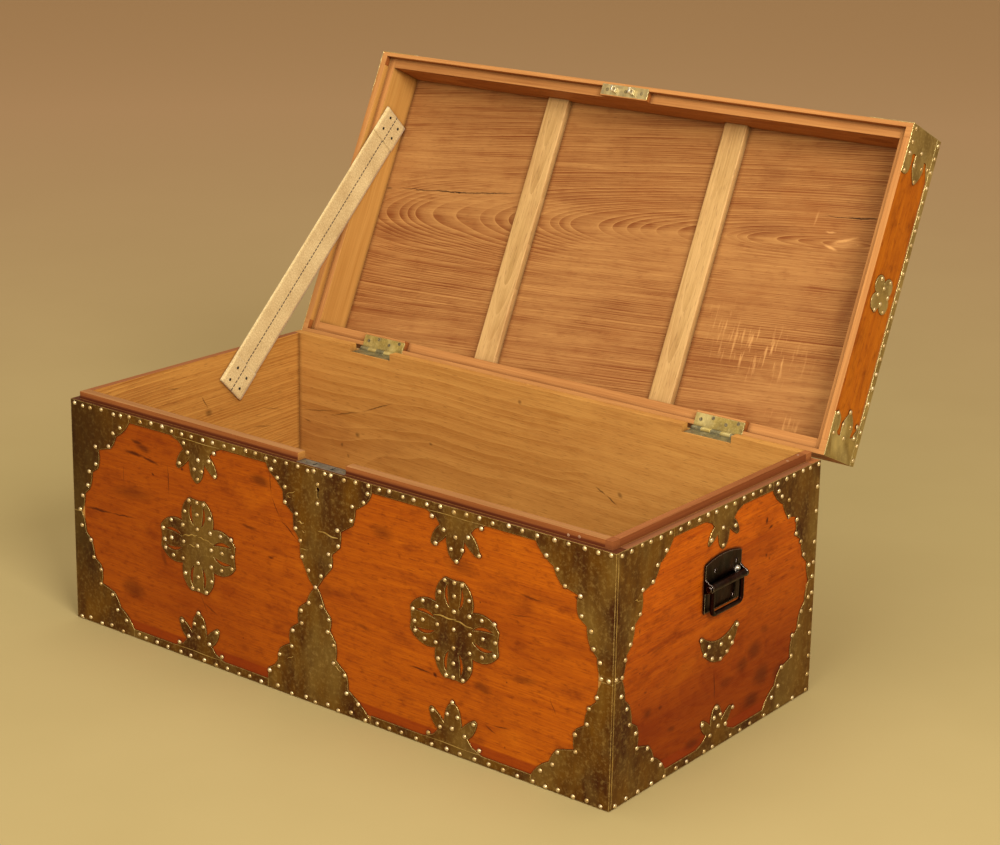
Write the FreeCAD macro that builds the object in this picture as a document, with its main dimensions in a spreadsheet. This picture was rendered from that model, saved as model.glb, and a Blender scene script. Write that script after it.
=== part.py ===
import FreeCAD, Part

import math
import os
import re
import Sketcher

# A damchiya chest: a dovetailed wooden carcass and lid with nailed sheet-brass mounts.
# +X runs right along the front, +Y to the back, +Z up, from the middle of the carcass's underside.
# Everything on the lid is worked out with the lid shut, then swung open about the hinge pins.

SIZES = {
    "chest_length": 914.0,
    "chest_depth": 447.0,
    "carcass_height": 319.0,
    "board": 20.0,
    "bottom_board": 11.0,
    "lip_rise": 10.5,
    "front_ledge": 6.5,
    "end_ledge": 10.0,
    "lip_clearance": 0.5,
    "overrun": 5.0,
    "lid_height": 85.5,
    "lid_panel": 12.5,
    "lid_gap": 0.4,
    "lid_open_angle": 114.6,
    "batten_width": 37.0,
    "batten_thickness": 11.5,
    "batten_offset": 155.5,
    "batten_chamfer": 1.5,
    "pin_wide": 30.0,
    "pin_narrow": 18.0,
    "lid_pin_wide": 22.0,
    "lid_pin_narrow": 14.0,
    "hinge_inset": 162.0,
    "hinge_length": 76.0,
    "hinge_leaf_width": 22.0,
    "hinge_leaf": 1.9,
    "hinge_setback": 4.9,
    "knuckle_radius": 4.2,
    "knuckle_gap": 0.3,
    "hinge_pin_radius": 1.6,
    "hinge_pin_head_radius": 2.9,
    "hinge_pin_head": 1.2,
    "pin_fit": 0.05,
    "screw_hole_radius": 1.7,
    "lock_plate_length": 80.0,
    "lock_plate_width": 15.5,
    "lock_plate": 2.0,
    "lock_plate_inset": 3.0,
    "lock_case_length": 68.0,
    "lock_case_width": 11.0,
    "lock_case_depth": 46.0,
    "lock_case_wall": 1.2,
    "lock_fit": 0.2,
    "key_gap": 17.0,
    "staple_offset": 15.0,
    "staple_thickness": 3.0,
    "staple_width": 7.5,
    "staple_reach": 13.0,
    "staple_eye_width": 4.4,
    "staple_eye_height": 5.0,
    "staple_eye_drop": 3.0,
    "slot_clearance": 0.5,
    "bolt_bar_height": 8.0,
    "bolt_bar_thickness": 3.2,
    "bolt_tongue": 10.0,
    "bolt_tongue_height": 3.4,
    "bolt_drop": 19.0,
    "bolt_fit": 0.3,
    "keyhole_radius": 2.7,
    "keyhole_slot": 2.6,
    "keyhole_length": 14.0,
    "keyhole_drop": 31.5,
    "link_plate": 1.6,
    "brass": 0.8,
    "sheet_gap": 0.2,
    "foot_gap": 1.0,
    "arris_return": 3.5,
    "corner_reach": 114.0,
    "border_width": 11.0,
    "centre_half": 89.0,
    "palmette_half": 46.0,
    "palmette_drop": 57.0,
    "end_palmette_half": 42.0,
    "end_palmette_drop": 46.0,
    "quatrefoil_half": 69.0,
    "quatrefoil_height": 65.0,
    "quatrefoil_rise": 4.0,
    "right_ornament_shift": 6.0,
    "crescent_half": 42.0,
    "crescent_drop": 41.0,
    "crescent_gap": 33.0,
    "lid_corner_reach": 72.0,
    "lid_rear_corner_reach": 65.0,
    "lid_binding": 10.0,
    "lid_binding_top": 12.0,
    "lid_foil_nip_across": 14.0,
    "lid_foil_nip_up": 16.0,
    "handle_gap": 11.0,
    "handle_plate_width": 79.0,
    "handle_plate_above": 28.0,
    "handle_plate_below": 33.0,
    "handle_plate_thickness": 2.4,
    "handle_stand_off": 8.5,
    "ear": 2.4,
    "ear_radius": 5.5,
    "ear_root_above": 12.0,
    "ear_root_below": 9.0,
    "handle_pin_radius": 2.2,
    "handle_pin_head_radius": 3.8,
    "handle_pin_head": 1.8,
    "barrel_radius": 5.0,
    "bail_clearance": 0.6,
    "bail_bar": 6.0,
    "bail_drop": 35.0,
    "bail_bend": 6.5,
    "bail_shoulder": 0.8,
    "stay_width": 55.0,
    "stay_web": 1.8,
    "stay_gap": 0.3,
    "stay_low_from_front": 279.7,
    "stay_low_height": 272.4,
    "stay_lid_from_front": 89.6,
    "stay_lid_depth": 46.0,
    "stay_hem": 46.0,
}

CARCASS_PINS = 5
LID_PINS = 2
KNUCKLES = 5

# Outlines in shares of a mount's own sizes: across, along, and the bow of the edge that follows
CORNER_SHARES = [
    (0.0, 0.0), (1.0, 0.0), (1.0, 0.07, 0.08), (0.767, 0.226, 0.06), (0.667, 0.348), (0.448, 0.392, 0.09),
    (0.434, 0.562), (0.33, 0.611, 0.06), (0.276, 0.77), (0.193, 0.825, 0.06), (0.13, 1.0), (0.0, 1.0)]
CENTRE_SHARES = {
    ("upper", "right"): [
        (1.0, 0.0), (1.0, 0.07, 0.10), (0.87, 0.185), (0.70, 0.248, 0.05), (0.652, 0.385),
        (0.43, 0.465, 0.06), (0.395, 0.61), (0.255, 0.68, 0.08), (0.245, 0.80), (0.10, 0.895), (-0.03, 1.0)],
    ("upper", "left"): [
        (1.0, 0.0), (1.0, 0.07, 0.12), (0.84, 0.17), (0.675, 0.268, 0.05), (0.655, 0.36),
        (0.475, 0.435, 0.04), (0.46, 0.565), (0.335, 0.648, 0.08), (0.32, 0.785), (0.215, 0.90, 0.08),
        (0.065, 1.0)],
    ("lower", "right"): [
        (1.0, 0.0), (0.97, 0.045, 0.03), (0.765, 0.145), (0.565, 0.22, 0.04), (0.535, 0.35),
        (0.33, 0.435, 0.06), (0.325, 0.59), (0.217, 0.675, 0.06), (0.24, 0.78), (0.12, 0.85, 0.04),
        (-0.01, 1.0)],
    ("lower", "left"): [
        (1.0, 0.0), (1.0, 0.165), (0.87, 0.21), (0.80, 0.265, 0.06), (0.76, 0.372, 0.06),
        (0.557, 0.44, 0.05), (0.55, 0.575, 0.05), (0.385, 0.645, 0.06), (0.38, 0.785),
        (0.218, 0.855, 0.10), (0.045, 1.0)]}
PALMETTE_SHARES = [
    (1.0, 0.0), (0.66, 0.12), (0.50, 0.27, 0.10), (0.80, 0.64, 0.30), (0.72, 0.75, 0.05), (0.29, 0.46, 0.05),
    (0.25, 0.72, 0.14), (0.0, 1.0)]
LOBE_SHARES = [(0.43, 0.45, 0.17), (0.21, 1.0), (0.0, 0.97)]
SLOT_SHARES = [(0.155, 0.90, -0.215), (0.105, 0.42, 0.04)]
CRESCENT_SHARES = [
    (-1.0, 1.0, 0.18), (0.0, 0.0, 0.18), (1.0, 0.95), (0.86, 1.0, -0.18), (-0.87, 1.0)]
LID_CORNER_SHARES = [
    (0.0, 0.0), (0.90, 0.0), (0.91, 0.09, 0.25), (0.72, 0.25, 0.12), (0.55, 0.22, -0.25), (0.50, 0.38),
    (0.68, 0.36, 0.10), (1.0, 0.56, 0.10), (0.68, 0.76), (0.52, 0.73, -0.25), (0.60, 0.86), (0.84, 1.0),
    (0.0, 1.0)]
FOIL_BOW_SHARE = 0.85
PLATE_ARCH_SHARE = 0.076
SCREW_SHARES = (-0.38, -0.14, 0.14, 0.38)
SCREW_ROW_SHARES = (0.62, 0.84)
MIDDLE_SHARE = 0.5
LEFT_TURN = 90
SIDES = ((-1, "left"), (1, "right"))

X_AXIS = FreeCAD.Vector(1, 0, 0)
Y_AXIS = FreeCAD.Vector(0, 1, 0)
Z_AXIS = FreeCAD.Vector(0, 0, 1)

FRONT = "-chest_depth / 2"
BACK = "chest_depth / 2"
LEFT = "-chest_length / 2"
RIGHT = "chest_length / 2"
LID_BASE = "carcass_height + lid_gap"
RAIL_TOP = "carcass_height + lid_height - lid_panel"
RAIL_HEIGHT = "lid_height - lid_panel - lid_gap"
PIN_Y = "chest_depth / 2 + hinge_setback"
PIN_Z = "carcass_height + lid_gap / 2"
HANDLE_Z = "carcass_height - border_width - end_palmette_drop - handle_gap - handle_plate_above"
PLATE_Y = FRONT + " + lock_plate_inset"
LOCK_Y = FRONT + " + lock_plate_inset + lock_plate_width / 2"

doc = FreeCAD.newDocument("damchiya_chest")
table = doc.addObject("Spreadsheet::Sheet", "Sizes")
for row, (alias, value) in enumerate(SIZES.items(), start=1):
    table.set(f"A{row}", str(value))
    table.setAlias(f"A{row}", alias)
doc.recompute()

NODES = []


# Helpers that bind each object to the sizes
def size(alias):
    return float(table.get(alias))


def bound(text):
    return re.sub(r"[a-z_]+", lambda word: "Sizes." + word[0] if word[0] in SIZES else word[0], text)


def bind(item, **expressions):
    for name, text in expressions.items():
        item.setExpression(name.replace("__", "."), bound(text))


def place(item, x, y, z):
    bind(item, Placement__Base__x=x, Placement__Base__y=y, Placement__Base__z=z)


def box(name, x, y, z, length, width, height):
    item = doc.addObject("Part::Box", name)
    bind(item, Length=length, Width=width, Height=height)
    place(item, x, y, z)
    return item


def cylinder(name, direction, x, y, z, radius, height):
    item = doc.addObject("Part::Cylinder", name)
    item.Placement.Rotation = FreeCAD.Rotation(Z_AXIS, direction)
    bind(item, Radius=radius, Height=height)
    place(item, x, y, z)
    return item


def fuse(name, parts):
    item = doc.addObject("Part::MultiFuse", name)
    item.Shapes = parts
    item.Refine = True
    return item


def cut(name, base, tools):
    item = doc.addObject("Part::Cut", name)
    item.Base = base
    item.Tool = tools[0] if len(tools) == 1 else fuse(name + "_tools", tools)
    item.Refine = True
    return item


def group(name, parts):
    item = doc.addObject("Part::Compound", name)
    item.Links = parts
    return item


def node(item, label, swing=None):
    item.Label = label
    if swing is not None:
        item.Placement = swing.multiply(item.Placement)
    NODES.append(item)
    return item


def face_frame(across, up, origin=FreeCAD.Vector()):
    return FreeCAD.Placement(origin, FreeCAD.Rotation(across, up, across.cross(up), "XYZ"))


HALF_LENGTH = size("chest_length") / 2
HALF_DEPTH = size("chest_depth") / 2
FRONT_FACE = face_frame(X_AXIS, Z_AXIS, Y_AXIS * -HALF_DEPTH)
RIGHT_FACE = face_frame(Y_AXIS, Z_AXIS, X_AXIS * HALF_LENGTH)
LEFT_FACE = face_frame(-Y_AXIS, Z_AXIS, X_AXIS * -HALF_LENGTH)
END_FACES = {"left": LEFT_FACE, "right": RIGHT_FACE}
HINGE_AXIS = FreeCAD.Vector(
    0, HALF_DEPTH + size("hinge_setback"), size("carcass_height") + size("lid_gap") / 2)
LID_OPEN = FreeCAD.Placement(
    FreeCAD.Vector(), FreeCAD.Rotation(X_AXIS, -size("lid_open_angle")), HINGE_AXIS)


# Dovetail pins on the end boards, narrowing outwards through the front and back boards
def corner_pins(name, side, y, base, height, count, wide, narrow):
    made = []
    for index in range(count):
        pin = doc.addObject("Part::Wedge", f"{name}_{index}")
        pin.Placement.Rotation = FreeCAD.Rotation(Z_AXIS, -side * LEFT_TURN)
        bind(pin, Xmin="0", Xmax="board", X2min="0", X2max="board", Ymin="0", Ymax="board",
             Zmin=f"-{wide} / 2", Zmax=f"{wide} / 2", Z2min=f"-{narrow} / 2", Z2max=f"{narrow} / 2")
        level = f"{base} + ({height}) * {2 * index + 1} / {2 * count}"
        place(pin, f"{side} * (chest_length / 2 - board)", f"{y} + board" if side > 0 else y, level)
        made.append(pin)
    return made


def pin_sets(name, base, height, count, wide, narrow):
    sets = {}
    for side, end in SIDES:
        for face, y in (("front", FRONT), ("back", BACK + " - board")):
            label = f"{name}_{end}_{face}"
            sets[end, face] = corner_pins(label, side, y, base, height, count, wide, narrow)
    return sets


# A block over one hinge, used for the gaps in the lip and the leaf seats
def hinge_block(name, side, y, z, width, height, ease="0"):
    return box(name, f"{side} * (chest_length / 2 - hinge_inset) - hinge_length / 2 - {ease}", y, z,
               f"hinge_length + 2 * {ease}", width, height)


def keyhole_tool(name, y, depth):
    eye = cylinder(name + "_eye", Y_AXIS, "0", y,
                   "carcass_height - keyhole_drop + keyhole_length / 2 - keyhole_radius",
                   "keyhole_radius", depth)
    slot = box(name + "_slot", "-keyhole_slot / 2", y, "carcass_height - keyhole_drop - keyhole_length / 2",
               "keyhole_slot", depth, "keyhole_length - keyhole_radius")
    return [eye, slot]


# Carcass boards, rebated outside at the top so that a lip stands up inside the ledge
def long_board(face, y, lip_y):
    plank = box(f"{face}_plank", LEFT, y, "bottom_board",
                "chest_length", "board", "carcass_height - bottom_board")
    lip = box(f"{face}_lip", LEFT + " + end_ledge", lip_y, "carcass_height",
              "chest_length - 2 * end_ledge", "board - front_ledge", "lip_rise")
    return fuse(f"{face}_stock", [plank, lip])


def front_board(joint):
    gap = box("lock_lip_gap", "-lock_plate_length / 2 - lip_clearance", FRONT, "carcass_height",
              "lock_plate_length + 2 * lip_clearance", "board", "lip_rise + overrun")
    seat = box("lock_plate_seat", "-lock_plate_length / 2", PLATE_Y, "carcass_height - lock_plate",
               "lock_plate_length", "lock_plate_width", "lock_plate + overrun")
    mortise = box("lock_mortise", "-lock_case_length / 2 - lock_fit",
                  LOCK_Y + " - lock_case_width / 2 - lock_fit",
                  "carcass_height - lock_plate - lock_case_depth - lock_fit",
                  "lock_case_length + 2 * lock_fit", "lock_case_width + 2 * lock_fit",
                  "lock_case_depth + lock_plate + overrun")
    tools = [gap, seat, mortise] + keyhole_tool("board_keyhole", FRONT + " - overrun", "overrun + board / 2")
    stock = long_board("front", FRONT, FRONT + " + front_ledge")
    node(cut("front_board", stock, tools + joint["left", "front"] + joint["right", "front"]), "front_board")


def back_board(joint):
    tools = joint["left", "back"] + joint["right", "back"]
    for side, end in SIDES:
        tools.append(hinge_block(f"{end}_lip_gap", side, BACK + " - board", "carcass_height",
                                 "board", "lip_rise + overrun", "lip_clearance"))
        tools.append(hinge_block(f"{end}_leaf_seat", side, PIN_Y + " - hinge_leaf_width",
                                 "carcass_height - hinge_leaf", "hinge_leaf_width", "hinge_leaf + overrun"))
    node(cut("back_board", long_board("back", BACK + " - board", BACK + " - board"), tools), "back_board")


def end_board(side, end, joint):
    plank = box(f"{end}_plank", f"{side} * (chest_length - board) / 2 - board / 2", FRONT + " + board",
                "bottom_board", "board", "chest_depth - 2 * board", "carcass_height - bottom_board")
    lip = box(f"{end}_lip", f"{side} * (chest_length - board - end_ledge) / 2 - (board - end_ledge) / 2",
              FRONT + " + board", "carcass_height",
              "board - end_ledge", "chest_depth - 2 * board", "lip_rise")
    parts = [plank, lip] + joint[end, "front"] + joint[end, "back"]
    node(fuse(f"{end}_end_board", parts), f"{end}_end_board")


def bottom_board():
    node(box("bottom_plank", LEFT, FRONT, "0", "chest_length", "chest_depth", "bottom_board"), "bottom_board")


# Lid rails, rebated inside so that the rim drops over the lip, but whole at the lock and hinges
def lid_recess():
    pocket = box("recess_pocket", LEFT + " + end_ledge - lip_clearance",
                 FRONT + " + front_ledge - lip_clearance", LID_BASE + " - overrun",
                 "chest_length - 2 * (end_ledge - lip_clearance)",
                 "chest_depth - 2 * (front_ledge - lip_clearance)", "overrun + lip_rise + lip_clearance")
    kept = [box("lock_block", "-lock_plate_length / 2", FRONT, LID_BASE + " - 2 * overrun",
                "lock_plate_length", "board", "3 * overrun + lip_rise")]
    for side, end in SIDES:
        kept.append(hinge_block(f"{end}_hinge_block", side, BACK + " - board", LID_BASE + " - 2 * overrun",
                                "board", "3 * overrun + lip_rise"))
    return cut("lid_recess", pocket, kept)


def lid_long_rail(face, y, tools):
    plank = box(f"lid_{face}_plank", LEFT, y, LID_BASE, "chest_length", "board", RAIL_HEIGHT)
    node(cut(f"lid_{face}_rail", plank, tools), f"lid_{face}_rail", LID_OPEN)


def lid_end_rail(side, end, recess, joint):
    plank = box(f"lid_{end}_plank", f"{side} * (chest_length - board) / 2 - board / 2", FRONT + " + board",
                LID_BASE, "board", "chest_depth - 2 * board", RAIL_HEIGHT)
    stock = fuse(f"lid_{end}_stock", [plank] + joint[end, "front"] + joint[end, "back"])
    node(cut(f"lid_{end}_rail", stock, [recess]), f"lid_{end}_rail", LID_OPEN)


def lid_frame():
    recess = lid_recess()
    joint = pin_sets("lid_pin", LID_BASE, RAIL_HEIGHT, LID_PINS, "lid_pin_wide", "lid_pin_narrow")
    link_seat = box("link_seat", "-lock_plate_length / 2", PLATE_Y, LID_BASE + " - overrun",
                    "lock_plate_length", "lock_plate_width", "overrun + link_plate")
    leaf_seats = [hinge_block(f"{end}_lid_leaf_seat", side, PIN_Y + " - hinge_leaf_width",
                              LID_BASE + " - overrun", "hinge_leaf_width", "overrun + hinge_leaf")
                  for side, end in SIDES]
    front_joint = joint["left", "front"] + joint["right", "front"]
    back_joint = joint["left", "back"] + joint["right", "back"]
    lid_long_rail("front", FRONT, [recess, link_seat] + front_joint)
    lid_long_rail("back", BACK + " - board", [recess] + leaf_seats + back_joint)
    for side, end in SIDES:
        lid_end_rail(side, end, recess, joint)


# Sketches on a body's own origin planes
def plane_sketch(body, role, name, lift="0"):
    sketch = body.newObject("Sketcher::SketchObject", name)
    plane = [item for item in body.Origin.OriginFeatures if item.Role == role][0]
    sketch.AttachmentSupport = [(plane, "")]
    sketch.MapMode = "FlatFace"
    bind(sketch, AttachmentOffset__Base__z=lift)
    return sketch


def rectangle(sketch, left, low, width, depth):
    corners = [FreeCAD.Vector(x, y, 0) for x, y in ((1, 1), (2, 1), (2, 2), (1, 2))]
    for index, corner in enumerate(corners):
        sketch.addGeometry(Part.LineSegment(corner, corners[(index + 1) % len(corners)]))
    for index in range(len(corners)):
        following = (index + 1) % len(corners)
        sketch.addConstraint(Sketcher.Constraint("Coincident", index, 2, following, 1))
        direction = "Vertical" if index % 2 else "Horizontal"
        sketch.addConstraint(Sketcher.Constraint(direction, index))
    for kind, ends, text in (("DistanceX", (-1, 1, 0, 1), left), ("DistanceY", (-1, 1, 0, 1), low),
                             ("DistanceX", (0, 1, 0, 2), width), ("DistanceY", (1, 1, 1, 2), depth)):
        index = sketch.addConstraint(Sketcher.Constraint(kind, *ends, 1.0))
        sketch.setExpression(f"Constraints[{index}]", bound(text))


def slab(name, left, low, width, depth, lift, thickness):
    body = doc.addObject("PartDesign::Body", name)
    sketch = plane_sketch(body, "XY_Plane", name + "_outline", lift)
    rectangle(sketch, left, low, width, depth)
    pad = body.newObject("PartDesign::Pad", name + "_pad")
    pad.Profile = sketch
    bind(pad, Length=thickness)
    return body, pad


def lid_panel():
    body, pad = slab("lid_panel", LEFT, FRONT, "chest_length", "chest_depth", RAIL_TOP, "lid_panel")
    node(body, "lid_panel", LID_OPEN)


def lid_batten(side, end):
    body, pad = slab(f"lid_{end}_batten", f"{side} * batten_offset - batten_width / 2", FRONT + " + board",
                     "batten_width", "chest_depth - 2 * board", RAIL_TOP + " - batten_thickness",
                     "batten_thickness")
    doc.recompute()
    floor = pad.Shape.BoundBox.ZMin + size("sheet_gap")
    edges = [f"Edge{index}" for index, edge in enumerate(pad.Shape.Edges, start=1)
             if edge.BoundBox.ZMax < floor and edge.BoundBox.YLength > edge.BoundBox.XLength]
    easing = body.newObject("PartDesign::Chamfer", f"lid_{end}_batten_easing")
    easing.Base = (pad, edges)
    bind(easing, Size="batten_chamfer")
    node(body, f"lid_{end}_batten", LID_OPEN)


# Butt hinges: knuckles by turns on a headed pin, and leaves let in flush
def leaf(label, side, knuckles, plate_z, swing=None):
    start = f"{side} * (chest_length / 2 - hinge_inset) - hinge_length / 2"
    parts = [box(label + "_plate", start, PIN_Y + " - hinge_leaf_width", plate_z, "hinge_length",
                 "hinge_leaf_width - knuckle_radius - knuckle_gap", "hinge_leaf")]
    for index in knuckles:
        x = f"{start} + {index} * hinge_length / {KNUCKLES} + knuckle_gap / 2"
        length = f"hinge_length / {KNUCKLES} - knuckle_gap"
        parts.append(box(f"{label}_tab_{index}", x, PIN_Y + " - knuckle_radius - 2 * knuckle_gap", plate_z,
                         length, "knuckle_radius + 2 * knuckle_gap", "hinge_leaf"))
        parts.append(cylinder(f"{label}_knuckle_{index}", X_AXIS, x, PIN_Y, PIN_Z, "knuckle_radius", length))
    tools = [cylinder(label + "_bore", X_AXIS, start + " - overrun", PIN_Y, PIN_Z,
                      "hinge_pin_radius + pin_fit", "hinge_length + 2 * overrun")]
    for index, share in enumerate(SCREW_SHARES):
        row_share = SCREW_ROW_SHARES[index % len(SCREW_ROW_SHARES)]
        x = f"{side} * (chest_length / 2 - hinge_inset) + ({share}) * hinge_length"
        y = f"{PIN_Y} - {row_share} * hinge_leaf_width"
        tools.append(cylinder(f"{label}_screw_{index}", Z_AXIS, x, y, plate_z + " - overrun",
                              "screw_hole_radius", "hinge_leaf + 2 * overrun"))
    node(cut(label, fuse(label + "_stock", parts), tools), label, swing)


def hinge(side, end):
    leaf(f"{end}_hinge_carcass_leaf", side, range(0, KNUCKLES, 2), "carcass_height - hinge_leaf")
    leaf(f"{end}_hinge_lid_leaf", side, range(1, KNUCKLES, 2), LID_BASE, LID_OPEN)
    start = f"{side} * (chest_length / 2 - hinge_inset) - hinge_length / 2"
    parts = [cylinder(f"{end}_pin_shank", X_AXIS, start, PIN_Y, PIN_Z, "hinge_pin_radius", "hinge_length")]
    for index, x in enumerate((start + " - hinge_pin_head", start + " + hinge_length")):
        parts.append(cylinder(f"{end}_pin_head_{index}", X_AXIS, x, PIN_Y, PIN_Z,
                              "hinge_pin_head_radius", "hinge_pin_head"))
    node(fuse(f"{end}_hinge_pin", parts), f"{end}_hinge_pin")


# Box lock: a case under its face plate, a sliding bolt with two tongues, and a link plate with two staples
def staple_slot(name, side):
    return box(name, f"{side} * staple_offset - staple_thickness / 2 - slot_clearance",
               LOCK_Y + " - staple_width / 2 - slot_clearance", "carcass_height - lock_plate - overrun",
               "staple_thickness + 2 * slot_clearance", "staple_width + 2 * slot_clearance",
               "lock_plate + 2 * overrun")


def lock_case():
    case_z = "carcass_height - lock_plate - lock_case_depth"
    face = box("lock_face", "-lock_plate_length / 2", PLATE_Y, "carcass_height - lock_plate",
               "lock_plate_length", "lock_plate_width", "lock_plate")
    shell = box("lock_shell", "-lock_case_length / 2", LOCK_Y + " - lock_case_width / 2", case_z,
                "lock_case_length", "lock_case_width", "lock_case_depth")
    hollow = box("lock_hollow", "-lock_case_length / 2 + lock_case_wall",
                 LOCK_Y + " - lock_case_width / 2 + lock_case_wall", case_z + " + lock_case_wall",
                 "lock_case_length - 2 * lock_case_wall", "lock_case_width - 2 * lock_case_wall",
                 "lock_case_depth - lock_case_wall")
    shelf = box("bolt_shelf", "-lock_case_length / 2", LOCK_Y + " - lock_case_width / 2",
                "carcass_height - bolt_drop - bolt_bar_height - bolt_fit - lock_case_wall",
                "lock_case_length", "lock_case_width", "lock_case_wall")
    way = box("key_way", "-key_gap / 2", LOCK_Y + " - lock_case_width / 2 + lock_case_wall", case_z,
              "key_gap", "lock_case_width - 2 * lock_case_wall", "lock_case_depth - bolt_drop")
    stock = fuse("lock_stock", [face, cut("lock_box", shell, [hollow]), cut("lock_shelf", shelf, [way])])
    tools = keyhole_tool("case_keyhole", FRONT, "lock_plate_inset + lock_plate_width / 2")
    tools += [staple_slot(f"{end}_staple_slot", side) for side, end in SIDES]
    node(cut("lock_case", stock, tools), "lock_case")


def lock_bolt():
    bar_y = LOCK_Y + " - bolt_bar_thickness / 2"
    bar_z = "carcass_height - bolt_drop - bolt_bar_height"
    tip = "staple_thickness / 2 + slot_clearance"
    tongue_z = LID_BASE + " - staple_reach + staple_eye_drop + (staple_eye_height - bolt_tongue_height) / 2"
    parts = [box("bolt_bar", f"-staple_offset - {tip} - bolt_tongue", bar_y, bar_z,
                 "2 * staple_offset + bolt_bar_thickness", "bolt_bar_thickness", "bolt_bar_height")]
    for side, end in SIDES:
        x = f"{side} * staple_offset - ({tip}) - bolt_tongue"
        parts.append(box(f"{end}_bolt_post", x, bar_y, bar_z, "bolt_bar_thickness", "bolt_bar_thickness",
                         f"{tongue_z} + bolt_tongue_height - ({bar_z})"))
        parts.append(box(f"{end}_bolt_tongue", x, bar_y, tongue_z,
                         "bolt_tongue", "bolt_bar_thickness", "bolt_tongue_height"))
    node(fuse("lock_bolt", parts), "lock_bolt")


def lock_link_plate():
    parts = [box("link_face", "-lock_plate_length / 2", PLATE_Y, LID_BASE,
                 "lock_plate_length", "lock_plate_width", "link_plate")]
    eyes = []
    for side, end in SIDES:
        x = f"{side} * staple_offset - staple_thickness / 2"
        parts.append(box(f"{end}_staple", x, LOCK_Y + " - staple_width / 2", LID_BASE + " - staple_reach",
                         "staple_thickness", "staple_width", "staple_reach + link_plate / 2"))
        eyes.append(box(f"{end}_staple_eye", x + " - overrun / 2", LOCK_Y + " - staple_eye_width / 2",
                        LID_BASE + " - staple_reach + staple_eye_drop",
                        "staple_thickness + overrun", "staple_eye_width", "staple_eye_height"))
    node(cut("lock_link_plate", fuse("link_stock", parts), eyes), "lock_link_plate", LID_OPEN)


# Outline points are across, along and bow, with a bow of zero for a straight edge
def scaled(shares, across, along):
    return [(x * across, y * along, *(bow or [0])) for x, y, *bow in shares]


def moved(points, across, along, up=1):
    return [(across + x, along + up * y, bow) for x, y, bow in points]


def quarter_turned(points, quarters):
    for _ in range(quarters):
        points = [(-y, x, bow) for x, y, bow in points]
    return points


def both_halves(right, left=None):
    left = left or right
    back = [(-x, y, before[2]) for (x, y, _), before in zip(left[1:], left)]
    top = right if right[-1][0] else right[:-1]
    return top + back[::-1] + [(-left[0][0], left[0][1], 0)]


def loop_edges(points):
    following = points[1:] + points[:1]
    area = sum(a[0] * b[1] - b[0] * a[1] for a, b in zip(points, following))
    outwards = -1 if area < 0 else 1
    edges = []
    for (x, y, bow), (next_x, next_y, _) in zip(points, following):
        start = FreeCAD.Vector(x, y, 0)
        end = FreeCAD.Vector(next_x, next_y, 0)
        chord = end - start
        normal = FreeCAD.Vector(chord.y, -chord.x, 0) * outwards
        middle = (start + end) * MIDDLE_SHARE + normal * bow
        edges.append(Part.Arc(start, middle, end) if bow else Part.LineSegment(start, end))
    return edges


def mount(name, loops, frame, thickness="brass"):
    body = doc.addObject("PartDesign::Body", name)
    sketch = plane_sketch(body, "XY_Plane", name + "_outline")
    for points in loops:
        for edge in loop_edges(points):
            sketch.addGeometry(edge)
    pad = body.newObject("PartDesign::Pad", name + "_pad")
    pad.Profile = sketch
    bind(pad, Length=thickness)
    body.Placement = frame
    return body


# Carcass corner mounts; the front ones are folded a little way round the arris
def edge_level(up):
    return size("carcass_height") if up < 0 else size("foot_gap")


def corner_drop(up):
    return abs(size("carcass_height") / 2 - edge_level(up)) - size("sheet_gap") / 2


def corner_loop(reach, across, up, x):
    return moved(scaled(CORNER_SHARES, across * reach, up * corner_drop(up)), x, edge_level(up))


def front_corner(side, end, up, level):
    label = f"front_{level}_corner_{end}"
    loop = corner_loop(size("corner_reach"), -side, up, side * HALF_LENGTH)
    flat = mount(label + "_flat", [loop], FRONT_FACE)
    low = "foot_gap" if up > 0 else "(carcass_height + sheet_gap) / 2"
    high = "(carcass_height - sheet_gap) / 2" if up > 0 else "carcass_height"
    fold = box(label + "_fold", RIGHT if side > 0 else LEFT + " - brass", FRONT + " - brass", low,
               "brass", "brass + arris_return", f"{high} - {low}")
    node(fuse(label, [flat, fold]), label)


def end_corners(side, end):
    for along, which in ((-1, "front"), (1, "rear")):
        inset = size("arris_return") + size("sheet_gap") if along < 0 else 0
        edge = side * along * (HALF_DEPTH - inset)
        for up, level in ((-1, "upper"), (1, "lower")):
            label = f"{end}_end_{which}_{level}_corner"
            loop = corner_loop(size("corner_reach") - inset, -side * along, up, edge)
            node(mount(label, [loop], END_FACES[end]), label)


# Front centre mounts, hand cut and so not alike, the upper one pierced by the keyhole
def keyhole_loop():
    radius = size("keyhole_radius")
    half = size("keyhole_slot") / 2
    middle = size("carcass_height") - size("keyhole_drop")
    eye = middle + size("keyhole_length") / 2 - radius
    foot = middle - size("keyhole_length") / 2
    neck = eye - math.sqrt(radius * radius - half * half)
    bow = (eye + radius - neck) / (2 * half)
    return [(-half, foot, 0), (half, foot, 0), (half, neck, bow), (-half, neck, 0)]


def front_centres():
    for up, level, holes in ((-1, "upper", [keyhole_loop()]), (1, "lower", [])):
        halves = [scaled(CENTRE_SHARES[level, end], size("centre_half"), corner_drop(up))
                  for end in ("right", "left")]
        outline = moved(both_halves(*halves), 0, edge_level(up), up)
        node(mount(f"front_centre_{level}", [outline] + holes, FRONT_FACE), f"front_centre_{level}")


# Border strips between the mounts, each with a palmette
def border_loop(start, stop, centre, half, drop, up):
    foot = edge_level(up)
    rim = foot + up * size("border_width")
    crown = moved(both_halves(scaled(PALMETTE_SHARES, half, drop)), centre, rim, up)
    return [(stop, foot, 0), (stop, rim, 0)] + crown + [(start, rim, 0), (start, foot, 0)]


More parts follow.
